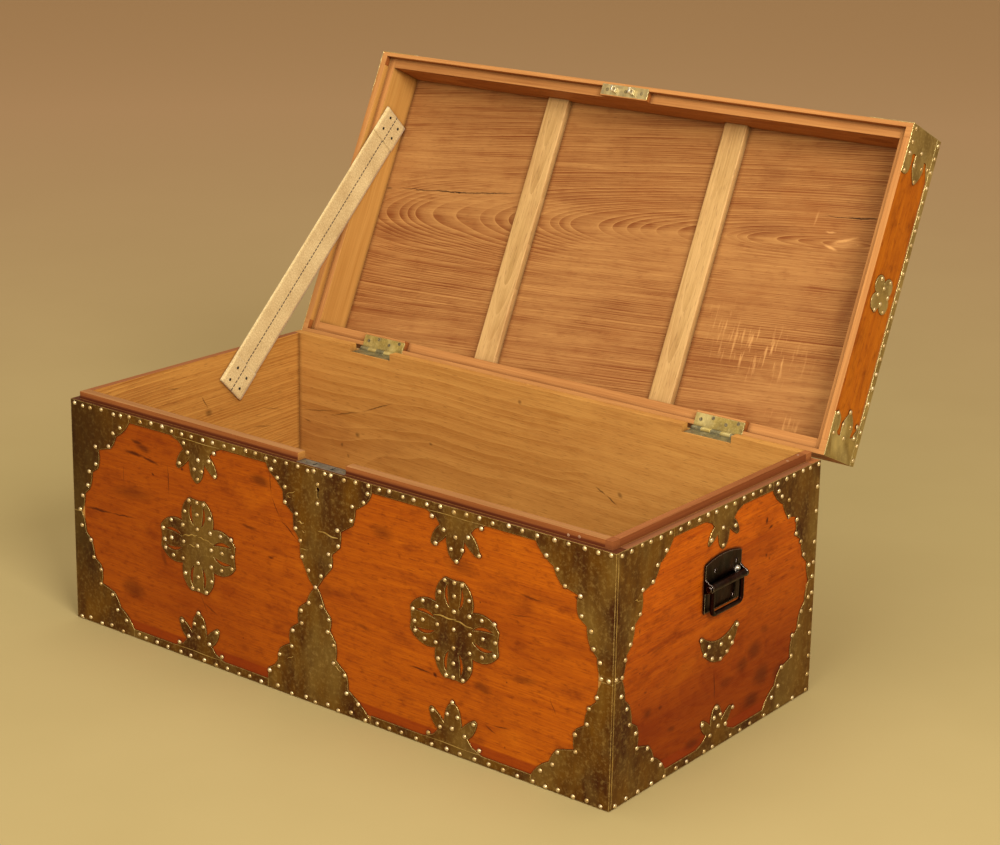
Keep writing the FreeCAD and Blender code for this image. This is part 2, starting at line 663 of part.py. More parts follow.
def panel_centre(side):
    shift = size("right_ornament_shift") if side > 0 else 0
    return side * (HALF_LENGTH - size("corner_reach") + size("centre_half")) / 2 + shift


def front_border(side, end, up, level):
    near = side * (size("centre_half") + size("sheet_gap"))
    far = side * (HALF_LENGTH - size("corner_reach") - size("sheet_gap"))
    label = f"front_{level}_border_{end}"
    loop = border_loop(min(near, far), max(near, far), panel_centre(side),
                       size("palmette_half"), size("palmette_drop"), up)
    node(mount(label, [loop], FRONT_FACE), label)


def end_border(end, up, level):
    stop = HALF_DEPTH - size("corner_reach") - size("sheet_gap")
    label = f"{end}_end_{level}_border"
    loop = border_loop(-stop, stop, 0, size("end_palmette_half"), size("end_palmette_drop"), up)
    node(mount(label, [loop], END_FACES[end]), label)


# Pierced quatrefoils on the front and crescents on the ends
def quatrefoil_loops(x, y):
    outline = []
    slots = []
    for quarters in range(4):
        reach = size("quatrefoil_half") if quarters % 2 else size("quatrefoil_height")
        lobe = both_halves(scaled(LOBE_SHARES, reach, reach))
        outline += moved(quarter_turned(lobe, quarters), x, y)
        for flip in (1, -1):
            slot = [(flip * px, py, flip * bow) for px, py, bow in scaled(SLOT_SHARES, reach, reach)]
            slots.append(moved(quarter_turned(slot, quarters), x, y))
    return [outline] + slots


def front_quatrefoils():
    level = size("carcass_height") / 2 + size("quatrefoil_rise")
    bodies = [mount(f"quatrefoil_{end}", quatrefoil_loops(panel_centre(side), level), FRONT_FACE)
              for side, end in SIDES]
    node(group("front_quatrefoils", bodies), "front_quatrefoils")


def end_crescents():
    drop = size("crescent_drop")
    loop = moved(scaled(CRESCENT_SHARES, size("crescent_half"), drop), 0,
                 plate_foot() - size("crescent_gap") - drop)
    bodies = [mount(f"crescent_{end}", [loop], frame) for end, frame in END_FACES.items()]
    node(group("end_crescents", bodies), "end_crescents")


# Lid mounts: corners, an edge binding folded over the top, and small quatrefoils
def lid_mount_height():
    return size("lid_height") - size("lid_gap") - size("lid_binding") - size("sheet_gap")


def lid_corner_loop(reach, across, x):
    base = size("carcass_height") + size("lid_gap")
    return moved(scaled(LID_CORNER_SHARES, across * reach, lid_mount_height()), x, base)


def lid_corners(side, end):
    label = f"lid_front_corner_{end}"
    reach = size("lid_corner_reach")
    flank = mount(label + "_flank", [lid_corner_loop(reach, side, -side * HALF_DEPTH)], END_FACES[end])
    face = mount(label + "_face", [lid_corner_loop(reach, -side, side * HALF_LENGTH)], FRONT_FACE)
    arris = box(label + "_arris", RIGHT if side > 0 else LEFT + " - brass", FRONT + " - brass", LID_BASE,
                "brass", "brass", "lid_height - lid_gap - lid_binding - sheet_gap")
    node(fuse(label, [flank, face, arris]), label, LID_OPEN)
    rear = f"lid_rear_corner_{end}"
    loop = lid_corner_loop(size("lid_rear_corner_reach"), -side, side * HALF_DEPTH)
    node(mount(rear, [loop], END_FACES[end]), rear, LID_OPEN)


def lid_edge_binding():
    top = "carcass_height + lid_height"
    low = top + " - lid_binding"
    strips = [box("binding_front", LEFT + " - brass", FRONT + " - brass", low,
                  "chest_length + 2 * brass", "brass", "lid_binding + brass"),
              box("binding_front_top", LEFT, FRONT, top, "chest_length", "lid_binding_top", "brass")]
    for side, end in SIDES:
        strips.append(box(f"binding_{end}", RIGHT if side > 0 else LEFT + " - brass", FRONT, low,
                          "brass", "chest_depth", "lid_binding + brass"))
        inner = RIGHT + " - lid_binding_top" if side > 0 else LEFT
        strips.append(box(f"binding_{end}_top", inner, FRONT, top, "lid_binding_top", "chest_depth", "brass"))
    node(fuse("lid_edge_binding", strips), "lid_edge_binding", LID_OPEN)


def lid_foil_loop(x):
    across = size("lid_foil_nip_across")
    up = size("lid_foil_nip_up")
    level = size("carcass_height") + size("lid_gap") + lid_mount_height() / 2
    nips = [(across, 0), (0, up), (-across, 0), (0, -up)]
    return moved([(px, py, FOIL_BOW_SHARE) for px, py in nips], x, level)


def lid_quatrefoils():
    bodies = [mount(f"lid_foil_{end}", [lid_foil_loop(0)], frame) for end, frame in END_FACES.items()]
    bodies += [mount(f"lid_foil_front_{end}", [lid_foil_loop(panel_centre(side))], FRONT_FACE)
               for side, end in SIDES]
    node(group("lid_quatrefoils", bodies), "lid_quatrefoils", LID_OPEN)


# End handles: an eared plate, a riveted cross pin and a hanging bail on a barrel
def handle_axis(side):
    return f"{side} * (chest_length / 2 + handle_stand_off)"


def plate_top():
    return (size("carcass_height") - size("border_width") - size("end_palmette_drop")
            - size("handle_gap"))


def plate_foot():
    return plate_top() - size("handle_plate_above") - size("handle_plate_below")


def ear(name, side, y):
    root = doc.addObject("Part::Wedge", name)
    bind(root, Xmin="-ear_root_below", Xmax="ear_root_above", X2min="-ear_radius", X2max="ear_radius",
         Ymin="0", Ymax="handle_stand_off", Zmin="0", Zmax="ear", Z2min="0", Z2max="ear")
    root.Placement = face_frame(Z_AXIS, X_AXIS * side)
    place(root, f"{side} * chest_length / 2", y if side > 0 else f"{y} + ear", HANDLE_Z)
    tip = cylinder(name + "_tip", Y_AXIS, handle_axis(side), y, HANDLE_Z, "ear_radius", "ear")
    return [root, tip]


def handle_plate(side, end):
    half = size("handle_plate_width") / 2
    top = plate_top()
    foot = plate_foot()
    loop = [(-half, foot, 0), (half, foot, 0), (half, top, PLATE_ARCH_SHARE), (-half, top, 0)]
    parts = [mount(f"{end}_plate_flat", [loop], END_FACES[end], "handle_plate_thickness")]
    parts += ear(f"{end}_front_ear", side, "-handle_plate_width / 2")
    parts += ear(f"{end}_rear_ear", side, "handle_plate_width / 2 - ear")
    bore = cylinder(f"{end}_ear_bore", Y_AXIS, handle_axis(side), "-handle_plate_width / 2 - overrun",
                    HANDLE_Z, "handle_pin_radius + pin_fit", "handle_plate_width + 2 * overrun")
    node(cut(f"{end}_handle_plate", fuse(f"{end}_plate_stock", parts), [bore]), f"{end}_handle_plate")


def handle_pin(side, end):
    parts = [cylinder(f"{end}_handle_shank", Y_AXIS, handle_axis(side), "-handle_plate_width / 2",
                      HANDLE_Z, "handle_pin_radius", "handle_plate_width")]
    starts = {"front": "-handle_plate_width / 2 - handle_pin_head", "rear": "handle_plate_width / 2"}
    for which, y in starts.items():
        parts.append(cylinder(f"{end}_{which}_rivet", Y_AXIS, handle_axis(side), y, HANDLE_Z,
                              "handle_pin_head_radius", "handle_pin_head"))
    node(fuse(f"{end}_handle_pin", parts), f"{end}_handle_pin")


def handle_bail(side, end):
    x = handle_axis(side)
    reach = "handle_plate_width / 2 - ear - bail_clearance"
    leg = reach + " - bail_shoulder - bail_bar / 2"
    foot = HANDLE_Z + " - bail_drop"
    parts = [cylinder(f"{end}_barrel", Y_AXIS, x, f"-({reach})", HANDLE_Z, "barrel_radius",
                      f"2 * ({reach})"),
             cylinder(f"{end}_bail_foot", Y_AXIS, x, f"-({leg} - bail_bend)", foot, "bail_bar / 2",
                      f"2 * ({leg} - bail_bend)")]
    bends = ((-1, "front", face_frame(-Y_AXIS, -Z_AXIS)), (1, "rear", face_frame(-Z_AXIS, Y_AXIS)))
    for flank, which, frame in bends:
        parts.append(cylinder(f"{end}_{which}_leg", Z_AXIS, x, f"{flank} * ({leg})", foot + " + bail_bend",
                              "bail_bar / 2", "bail_drop - bail_bend"))
        bend = doc.addObject("Part::Torus", f"{end}_{which}_bend")
        bend.Placement = frame
        bend.Angle3 = LEFT_TURN
        bind(bend, Radius1="bail_bend", Radius2="bail_bar / 2")
        place(bend, x, f"{flank} * ({leg} - bail_bend)", foot + " + bail_bend")
        parts.append(bend)
    bore = cylinder(f"{end}_barrel_bore", Y_AXIS, x, f"-({reach}) - overrun", HANDLE_Z,
                    "handle_pin_radius + pin_fit", f"2 * ({reach} + overrun)")
    node(cut(f"{end}_handle_bail", fuse(f"{end}_bail_stock", parts), [bore]), f"{end}_handle_bail")


# Webbing stay: a flat band with a doubled hem at each end, from the left end board to the lid's left rail
def stay_webbing():
    low = FreeCAD.Vector(0, size("stay_low_from_front") - HALF_DEPTH, size("stay_low_height"))
    shut = FreeCAD.Vector(0, size("stay_lid_from_front") - HALF_DEPTH,
                          size("carcass_height") + size("lid_gap") + size("stay_lid_depth"))
    run = LID_OPEN.multVec(shut) - low
    web = size("stay_web")
    hem = size("stay_hem")
    far = run.Length
    profile = [(0, 0), (far, 0), (far, 2 * web), (far - hem, 2 * web), (far - hem, web), (hem, web),
               (hem, 2 * web), (0, 2 * web)]
    points = [FreeCAD.Vector(x, -size("stay_width") / 2, z) for x, z in profile + profile[:1]]
    band = doc.addObject("Part::Feature", "stay_webbing")
    band.Shape = Part.Face(Part.makePolygon(points)).extrude(Y_AXIS * size("stay_width"))
    run.normalize()
    start = FreeCAD.Vector(size("board") + size("stay_gap") - HALF_LENGTH, low.y, low.z)
    band.Placement = FreeCAD.Placement(start, FreeCAD.Rotation(run, X_AXIS.cross(run), X_AXIS, "XYZ"))
    node(band, "stay_webbing")


def build_wood():
    joint = pin_sets("pin", "bottom_board", "carcass_height - bottom_board", CARCASS_PINS,
                     "pin_wide", "pin_narrow")
    front_board(joint)
    back_board(joint)
    bottom_board()
    lid_frame()
    lid_panel()
    for side, end in SIDES:
        end_board(side, end, joint)
        lid_batten(side, end)


def build_fittings():
    lock_case()
    lock_bolt()
    lock_link_plate()
    for side, end in SIDES:
        hinge(side, end)
        handle_plate(side, end)
        handle_pin(side, end)
        handle_bail(side, end)
    stay_webbing()


def build_mounts():
    front_centres()
    front_quatrefoils()
    end_crescents()
    lid_edge_binding()
    lid_quatrefoils()
    for side, end in SIDES:
        end_corners(side, end)
        lid_corners(side, end)
        for up, level, edge in ((-1, "upper", "top"), (1, "lower", "bottom")):
            front_corner(side, end, up, level)
            front_border(side, end, up, edge)
            end_border(end, up, edge)


def check_and_write():
    doc.recompute()
    for item in doc.Objects:
        if "Invalid" in item.State or "Error" in item.State:
            raise RuntimeError(f"{item.Label} did not build: {item.State}")
    os.makedirs("parts", exist_ok=True)
    for item in NODES:
        if item.Shape.isNull() or not item.Shape.isValid():
            raise RuntimeError(f"{item.Label} has no valid shape")
        item.Shape.exportStep(f"parts/{item.Label}.step")
    print(len(NODES), "nodes written")


build_wood()
build_fittings()
build_mounts()
check_and_write()
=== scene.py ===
"""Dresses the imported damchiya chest: teak with a worn orange varnish outside, nailed sheet-brass mounts
with a brown patina, tarnished hinges and lock, iron drop handles and a cotton webbing stay."""
import math
import random

import bmesh
import bpy
from mathutils import Matrix, Vector


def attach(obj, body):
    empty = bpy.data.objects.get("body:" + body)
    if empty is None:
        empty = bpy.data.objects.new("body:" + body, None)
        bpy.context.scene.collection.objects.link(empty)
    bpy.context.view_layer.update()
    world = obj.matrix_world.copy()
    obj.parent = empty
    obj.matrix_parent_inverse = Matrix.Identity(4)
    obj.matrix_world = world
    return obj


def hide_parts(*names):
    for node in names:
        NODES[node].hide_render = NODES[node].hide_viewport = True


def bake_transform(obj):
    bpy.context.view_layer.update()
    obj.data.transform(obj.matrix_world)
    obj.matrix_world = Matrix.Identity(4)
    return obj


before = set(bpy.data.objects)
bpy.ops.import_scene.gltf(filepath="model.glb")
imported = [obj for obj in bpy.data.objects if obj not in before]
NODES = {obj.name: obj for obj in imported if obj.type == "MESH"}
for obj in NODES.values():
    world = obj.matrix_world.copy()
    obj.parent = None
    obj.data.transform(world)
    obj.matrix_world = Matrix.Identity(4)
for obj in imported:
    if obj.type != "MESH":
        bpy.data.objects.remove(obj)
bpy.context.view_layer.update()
SIDES = (("left", -1), ("right", 1))

MM = 0.001
UP = Vector((0, 0, 1))
# Outer faces of the carcass and of the brass on it, in metres from the middle of the chest.
FRONT_WOOD, END_WOOD = 0.2235, 0.457
FRONT_BRASS, END_BRASS = 0.2243, 0.4578
BOARD_TOP = 0.319
LID_BASE = 0.3194
LID_TOP = 0.4045

HINGE_LINE = Vector((0, 0.2284, 0.3192))
OPEN_TURN = Matrix.Rotation(-math.radians(114.6), 4, "X")
LID_OPEN = Matrix.Translation(HINGE_LINE) @ OPEN_TURN @ Matrix.Translation(-HINGE_LINE)
STILL = Matrix.Identity(4)


# Materials

def hex_colour(code):
    """An sRGB hex value as the linear colour that a socket takes."""
    parts = [int(code[i:i + 2], 16) / 255 for i in (1, 3, 5)]
    return [p / 12.92 if p <= 0.04045 else ((p + 0.055) / 1.055) ** 2.4 for p in parts] + [1.0]


def add(tree, kind, settings=(), links=()):
    """Adds one node. A setting is a property of the node, or else the value of one of its inputs."""
    node = tree.nodes.new("ShaderNode" + kind)
    for name, value in dict(settings).items():
        if isinstance(name, str) and name in node.bl_rna.properties:
            setattr(node, name, value)
        else:
            node.inputs[name].default_value = value
    for name, socket in dict(links).items():
        tree.links.new(socket, node.inputs[name])
    return node


def new_finish(name):
    """An empty material with its surface shader: (material, node tree, shader)."""
    finish = bpy.data.materials.new(name)
    finish.use_nodes = True
    tree = finish.node_tree
    tree.nodes.clear()
    shader = add(tree, "BsdfPrincipled")
    add(tree, "OutputMaterial", links={"Surface": shader.outputs["BSDF"]})
    return finish, tree, shader


def sum_of(tree, terms, start=0.0):
    """start plus each socket times its weight."""
    total = None
    for socket, weight in terms:
        if total is None:
            node = add(tree, "Math", {"operation": "MULTIPLY_ADD", 1: weight, 2: start}, {0: socket})
        else:
            node = add(tree, "Math", {"operation": "MULTIPLY_ADD", 1: weight}, {0: socket, 2: total})
        total = node.outputs[0]
    return total


def both(tree, *sockets):
    """Where all of these are 1: their product."""
    product = sockets[0]
    for socket in sockets[1:]:
        product = add(tree, "Math", {"operation": "MULTIPLY"}, {0: product, 1: socket}).outputs[0]
    return product


def either(tree, one, other):
    """Where at least one of these is 1: the larger of the two."""
    return add(tree, "Math", {"operation": "MAXIMUM"}, {0: one, 1: other}).outputs[0]


def ramp(tree, value, low, high, soft=False):
    """0 at low and 1 at high, straight between them or with soft ends."""
    return add(tree, "MapRange", {"interpolation_type": "SMOOTHSTEP" if soft else "LINEAR", "From Min": low,
                                  "From Max": high}, {"Value": value}).outputs[0]


def scaled(tree, place, factors):
    """A place with each of its axes multiplied."""
    return add(tree, "VectorMath", {"operation": "MULTIPLY", 1: factors}, {0: place}).outputs[0]


def noise(tree, place, scale, detail, roughness=0.5):
    """A cloudy field with scale lumps a metre."""
    return add(tree, "TexNoise", {"Scale": scale, "Detail": detail, "Roughness": roughness},
               {"Vector": place}).outputs["Fac"]


def wash(tree, base, factor, colour, share=1.0):
    """Lays a colour over another where factor is 1, at that share of its strength."""
    if share != 1.0:
        factor = sum_of(tree, ((factor, share),))
    node = add(tree, "Mix", {"data_type": "RGBA", "clamp_factor": True}, {0: factor})
    for index, value in ((6, base), (7, colour)):
        if isinstance(value, str):
            node.inputs[index].default_value = hex_colour(value)
        else:
            tree.links.new(value, node.inputs[index])
    return node.outputs[2]


def grain_space(tree, along, across, centre, lid=False):
    """Places on a board in metres: X along the grain, Y across it on the face, Z into the board."""
    rows = [Vector(along).normalized(), Vector(across).normalized()]
    rows.append(rows[0].cross(rows[1]))
    middle = Vector(centre)
    if lid:
        rows = [OPEN_TURN.to_3x3() @ row for row in rows]
        middle = LID_OPEN @ middle
    turn = Matrix(rows)
    place = add(tree, "TexCoord").outputs["Object"]
    return add(tree, "Mapping", {"Location": -(turn @ middle), "Rotation": turn.to_euler()},
               {"Vector": place}).outputs["Vector"]


def teak_figure(tree, grain, heart, rise, ring, wander):
    """Growth rings sawn nearly along the trunk. Their heart lies heart metres behind the face and comes
    nearer by rise metres a metre to the right, so the rings end in nested arches that point left. Gives
    late wood, pale early wood, fibres, broad bands and pores, each 0 to 1."""
    bend = add(tree, "TexNoise", {"Scale": 1.0, "Detail": 2.0, "Roughness": 0.4},
               {"Vector": scaled(tree, grain, (4.5, 2.0, 2.0))})
    turned = add(tree, "SeparateXYZ", links={0: bend.outputs["Color"]})
    place = add(tree, "SeparateXYZ", links={0: grain})
    depth = sum_of(tree, ((place.outputs["X"], -rise), (bend.outputs["Fac"], wander)), heart - wander / 2)
    sway = sum_of(tree, ((place.outputs["Y"], 1.0), (turned.outputs["Y"], wander * 0.6)), -wander * 0.3)
    reach = add(tree, "CombineXYZ", links={"X": sway, "Y": depth})
    radius = add(tree, "VectorMath", {"operation": "LENGTH"}, {0: reach.outputs[0]}).outputs["Value"]
    # Good and bad years: rings wider and narrower than the usual.
    weather = add(tree, "TexNoise", {"noise_dimensions": "1D", "Scale": 0.22 / ring, "Detail": 1.0},
                  {"W": radius})
    year = add(tree, "Math", {"operation": "FRACT"},
               {0: sum_of(tree, ((radius, 1 / ring), (weather.outputs["Fac"], 4.0)))}).outputs[0]
    late = ramp(tree, year, 0.1, 0.95, soft=True)
    early = ramp(tree, year, 0.17, 0.04, soft=True)
    # Fibre bundles about 2 mm wide and 100 mm long (real ones are finer than the picture can show), and
    # darker bands about 12 mm wide.
    streaks = [noise(tree, scaled(tree, grain, stretch), 1.0, 4.0, 0.62)
               for stretch in ((10, 560, 560), (2.4, 85, 85))]
    # Teak's open pores, dark dashes about 1 mm wide and 15 mm long.
    pores = ramp(tree, noise(tree, scaled(tree, grain, (65, 900, 900)), 1.0, 1.0), 0.6, 0.75)
    return late, early, *streaks, pores


def stains(tree, grain, size, low, high):
    """Cloudy patches about size metres across, twice as long along the grain."""
    place = scaled(tree, grain, (0.5 / size, 1 / size, 1 / size))
    return ramp(tree, noise(tree, place, 1.0, 4.0, 0.62), low, high, soft=True)


def specks(tree, grain, spacing, radius, share):
    """Small dark pits: one in some of the cells about spacing metres apart."""
    cell = add(tree, "TexVoronoi", {"Scale": 1 / spacing}, {"Vector": grain})
    dot = ramp(tree, cell.outputs["Distance"], radius / spacing, 0.4 * radius / spacing)
    pick = add(tree, "SeparateXYZ", links={0: cell.outputs["Color"]})
    gate = add(tree, "Math", {"operation": "LESS_THAN", 1: share}, {0: pick.outputs["X"]})
    return both(tree, dot, gate.outputs[0])


def marks(tree, face, strokes):
    """Scratches, cracks and bruises put where the photograph shows them. A stroke is a long ellipse
    between two places on the face, (x, y, x, y, width, strength), in millimetres, soft at its rim."""
    waver = add(tree, "TexNoise", {"Scale": 60.0, "Detail": 3.0, "Roughness": 0.6}, {"Vector": face})
    shift = add(tree, "VectorMath", {"operation": "MULTIPLY_ADD", 1: (0.005,) * 3, 2: (-0.0025,) * 3},
                {0: waver.outputs["Color"]})
    wavy = add(tree, "VectorMath", {"operation": "ADD"}, {0: face, 1: shift.outputs[0]}).outputs[0]
    total = None
    for x1, y1, x2, y2, width, strength in strokes:
        length = max(math.hypot(x2 - x1, y2 - y1), width)
        half = 1.15 / 2 * MM
        local = add(tree, "Mapping", {"vector_type": "TEXTURE", "Scale": (length * half, width * half, 10),
                                      "Location": ((x1 + x2) / 2 * MM, (y1 + y2) / 2 * MM, 0),
                                      "Rotation": (0, 0, math.atan2(y2 - y1, x2 - x1))}, {"Vector": wavy})
        inside = add(tree, "TexGradient", {"gradient_type": "SPHERICAL"}, {"Vector": local.outputs[0]})
        stroke = add(tree, "MapRange", {"interpolation_type": "SMOOTHSTEP", "clamp": False, "From Max": 0.826,
                                        "To Max": strength}, {"Value": inside.outputs["Fac"]}).outputs[0]
        total = stroke if total is None else either(tree, total, stroke)
    return total


def beyond(tree, direction, level, lid=False, soft=0.0004):
    """1 where a place on the chest lies more than level metres out in that direction, with the lid shut."""
    way = Vector(direction)
    offset = level
    if lid:
        way = OPEN_TURN.to_3x3() @ way
        offset = level + way.dot(LID_OPEN @ Vector((0, 0, 0)))
    place = add(tree, "TexCoord").outputs["Object"]
    reach = add(tree, "VectorMath", {"operation": "DOT_PRODUCT", 1: way}, {0: place})
    return ramp(tree, reach.outputs["Value"], offset - soft, offset + soft)


def facing(tree, direction, lid=False):
    """1 on faces turned to that direction of the chest, with the lid shut."""
    way = OPEN_TURN.to_3x3() @ Vector(direction) if lid else Vector(direction)
    normal = add(tree, "TexCoord").outputs["Normal"]
    turned = add(tree, "VectorMath", {"operation": "DOT_PRODUCT", 1: way}, {0: normal})
    return ramp(tree, turned.outputs["Value"], 0.5, 0.85)


def dirt_and_shade_in_corners(tree, reach, most=0.7):
    """1 in corners closed in within reach metres: where dirt and polish gather, and where the darkening it
    brings is painted shade.
    """
    shut = add(tree, "AmbientOcclusion", {"samples": 4, "Distance": reach})
    return ramp(tree, shut.outputs["AO"], 0.96, most)


def edge_wear_and_highlight(tree, radius):
    """1 near an edge of the piece, from how much a rounded edge would turn the surface there, and the
    rounded edge's normal."""
    rounded = add(tree, "Bevel", {"samples": 4, "Radius": radius})
    plain = add(tree, "NewGeometry")
    same = add(tree, "VectorMath", {"operation": "DOT_PRODUCT"},
               {0: rounded.outputs[0], 1: plain.outputs["Normal"]})
    return ramp(tree, same.outputs["Value"], 0.995, 0.88), rounded.outputs[0]


def old_varnish(tree, grain, figure, coats, shades, foot, strokes):
    """Red-orange spirit varnish gone dull: it hides most of the figure, is darker in old dirt, darker along
    the brass where polish and dust gather and painted shade falls, and is bruised and scratched."""
    late, early, fibre, band, pores = figure
    light, dark = coats
    shade = sum_of(tree, ((late, 0.16), (fibre, 1.1), (band, 1.0)), -0.72)
    coat = wash(tree, light, shade, dark)
    for size, low, high, share, dirt_and_shade in ((0.09, 0.46, 0.76, 0.55, "#6c2403"),
                                         (0.03, 0.5, 0.78, 0.6, "#5c1f03"),
                                         (0.008, 0.5, 0.8, 0.6, "#5c1e02"),
                                         (0.05, 0.56, 0.8, 0.45, "#c9720f")):
        coat = wash(tree, coat, stains(tree, grain, size, low, high), dirt_and_shade, share)
    coat = wash(tree, coat, pores, "#5e2004", 0.6)
    coat = wash(tree, coat, specks(tree, grain, 0.022, 0.0015, 0.4), "#331003", 0.75)
    # Each shade darkens one part of the coat: painted shade over the front's left half, and a darkening
    # towards the foot of an end.
    for mask, dirt_and_shade, share in shades:
        coat = wash(tree, coat, mask(tree), dirt_and_shade, share)
    # Dirt along the brass and painted shade in the corners that the ambient occlusion finds.
    coat = wash(tree, coat, dirt_and_shade_in_corners(tree, 0.0045, 0.78), "#240a02", 0.9)
    if foot:
        # A darker strip just above the bottom border, with a ragged top.
        ragged = sum_of(tree, ((fibre, 0.006),), -0.003)
        height = add(tree, "SeparateXYZ", links={0: add(tree, "TexCoord").outputs["Object"]})
        level = add(tree, "Math", {"operation": "ADD"}, {0: height.outputs["Z"], 1: ragged}).outputs[0]
        coat = wash(tree, coat, ramp(tree, level, 0.0265, 0.0245), "#7a2a06", 0.7)
    if strokes:
        coat = wash(tree, coat, strokes(tree), "#401404")
    return coat


def teak(name, along, across, centre, light, dark, heart=0.05, rise=0.1, ring=0.003, wander=0.02, lid=False,
         rings=0.34, varnish=(), coats=("#b45f09", "#873a05"), shades=(), zones=(), foot=False, strokes=None,
         cracks=None, scrapes=None, soil=None):
    """Old plain-sawn teak, planed by hand and left bare, so it shows dull tan wood with brown arches and dark
    pores. varnish gives the (direction, level) of the faces with a coat of varnish; zones gives (mask, light,
    dark) of other rubbed or dirty faces, and of the keyhole's wall in painted shade. strokes mark the
    varnish; soil, scrapes and cracks mark the bare wood."""
    finish, tree, shader = new_finish(name)
    grain = grain_space(tree, along, across, centre, lid)
    figure = late, early, fibre, band, pores = teak_figure(tree, grain, heart, rise, ring, wander)
    streak = sum_of(tree, ((fibre, 1.1), (band, 1.2)), -0.82)
    clear = stains(tree, grain, 0.16, 0.36, 0.58)
    tone = sum_of(tree, ((both(tree, late, clear), rings), (streak, 1.0)))
    colour = wash(tree, light, tone, dark)
    colour = wash(tree, colour, stains(tree, grain, 0.11, 0.5, 0.74), "#8a5228", 0.4)
    colour = wash(tree, colour, stains(tree, grain, 0.02, 0.52, 0.78), dark, 0.4)
    colour = wash(tree, colour, both(tree, early, clear), light, rings * 1.4)
    colour = wash(tree, colour, pores, "#5a3216", 0.4)
    colour = wash(tree, colour, specks(tree, grain, 0.05, 0.0014, 0.3), "#4a2a14", 0.7)
    if soil:
        colour = wash(tree, colour, soil(tree), "#6e3a1e", 0.6)
    if scrapes:
        colour = wash(tree, colour, scrapes(tree, grain), "#e2b070", 0.7)
    if cracks:
        colour = wash(tree, colour, cracks(tree), "#26100a")
    sheen = sum_of(tree, ((fibre, 0.2),), 0.44)
    rub, rounded = edge_wear_and_highlight(tree, 0.0012)
    for mask, pale, deep in zones:
        colour = wash(tree, colour, mask(tree), wash(tree, pale, streak, deep))
    if varnish:
        painted = old_varnish(tree, grain, figure, coats, shades, foot, strokes)
        coated = None
        for direction, level in varnish:
            side = both(tree, beyond(tree, direction, level, lid), facing(tree, direction, lid))
            coated = side if coated is None else either(tree, coated, side)
        colour = wash(tree, colour, coated, painted)
        rub = sum_of(tree, ((both(tree, rub, coated), -0.8), (rub, 1.0)))
        sheen = sum_of(tree, ((sheen, 1.0), (coated, -0.04), (stains(tree, grain, 0.03, 0.5, 0.7), 0.1)))
    rubbed = both(tree, rub, stains(tree, grain, 0.012, 0.4, 0.62))
    colour = wash(tree, colour, rubbed, "#b07c48", 0.35)
    # Dirt and painted shade in the corners where parts meet.
    colour = wash(tree, colour, dirt_and_shade_in_corners(tree, 0.007, 0.5), "#4a2410", 0.6)
    raised = sum_of(tree, ((fibre, 1.0), (pores, -0.6), (late, 0.3)))
    bump = add(tree, "Bump", {"Strength": 0.35, "Distance": 0.0004}, {"Height": raised, "Normal": rounded})
    tree.links.new(colour, shader.inputs["Base Color"])
    tree.links.new(sheen, shader.inputs["Roughness"])
    tree.links.new(bump.outputs[0], shader.inputs["Normal"])
    shader.inputs["IOR"].default_value = 1.5
    shader.inputs["Specular IOR Level"].default_value = 0.12
    return finish


def old_metal(name, bright, body, grime_and_shade, metallic, roughness, patch, edge, scuffs=0.5, dents=0.25,
              patina=None, skin=None):
    """Sheet or cast metal with an old skin: grime in cloudy patches about patch metres across, streaks where
    it was wiped down, the metal's own colour where it is rubbed, and arrises within edge metres both rubbed
    bright and given a painted highlight. patina is the colour of its pale patches; skin gives (mask, colour,
    share) of a place that looks different."""
    finish, tree, shader = new_finish(name)
    place = add(tree, "TexCoord").outputs["Object"]
    wiped = scaled(tree, place, (1, 1, 0.5))
    dark = ramp(tree, noise(tree, wiped, 1 / patch, 4.0, 0.6), 0.36, 0.62)
    colour = wash(tree, body, dark, grime_and_shade)
    grit = noise(tree, place, 8 / patch, 4.0, 0.75)
    # Wiping streaks are about a sixth of a patch wide.
    wipes = noise(tree, scaled(tree, place, (6 / patch, 6 / patch, 0.9 / patch)), 1.0, 3.0, 0.6)
    pale = noise(tree, wiped, 0.7 / patch, 3.0)
    for field, low, high, tint, share in ((pale, 0.5, 0.68, patina or bright, 0.75 if patina else scuffs),
                                          (grit, 0.5, 0.8, bright, scuffs),
                                          (wipes, 0.55, 0.9, bright, scuffs / 4)):
        colour = wash(tree, colour, ramp(tree, field, low, high), tint, share)
    colour = wash(tree, colour, ramp(tree, wipes, 0.46, 0.25), grime_and_shade, 0.2)
    if skin:
        mask, shade, share = skin
        colour = wash(tree, colour, mask(tree), shade, share)
    # Grime and painted shade in corners, such as the dark ring around a nail head.
    colour = wash(tree, colour, dirt_and_shade_in_corners(tree, 0.0035, 0.6), grime_and_shade, 0.8)
    rub, rounded = edge_wear_and_highlight(tree, edge)
    # Rubbed metal and painted highlight on the arrises, broken up by the grit.
    rubbed_and_highlit_edges = both(tree, rub, ramp(tree, grit, 0.3, 0.55))
    colour = wash(tree, colour, rubbed_and_highlit_edges, bright, 0.95)
    relief = sum_of(tree, ((noise(tree, place, 0.5 / patch, 2.0), 4.0), (grit, 0.25)))
    bump = add(tree, "Bump", {"Strength": dents, "Distance": 0.0012}, {"Height": relief, "Normal": rounded})
    gloss = sum_of(tree, ((dark, 0.14), (rubbed_and_highlit_edges, -0.12), (grit, 0.1)), roughness - 0.05)
    tree.links.new(colour, shader.inputs["Base Color"])
    tree.links.new(gloss, shader.inputs["Roughness"])
    tree.links.new(bump.outputs[0], shader.inputs["Normal"])
    shader.inputs["Metallic"].default_value = metallic
    return finish


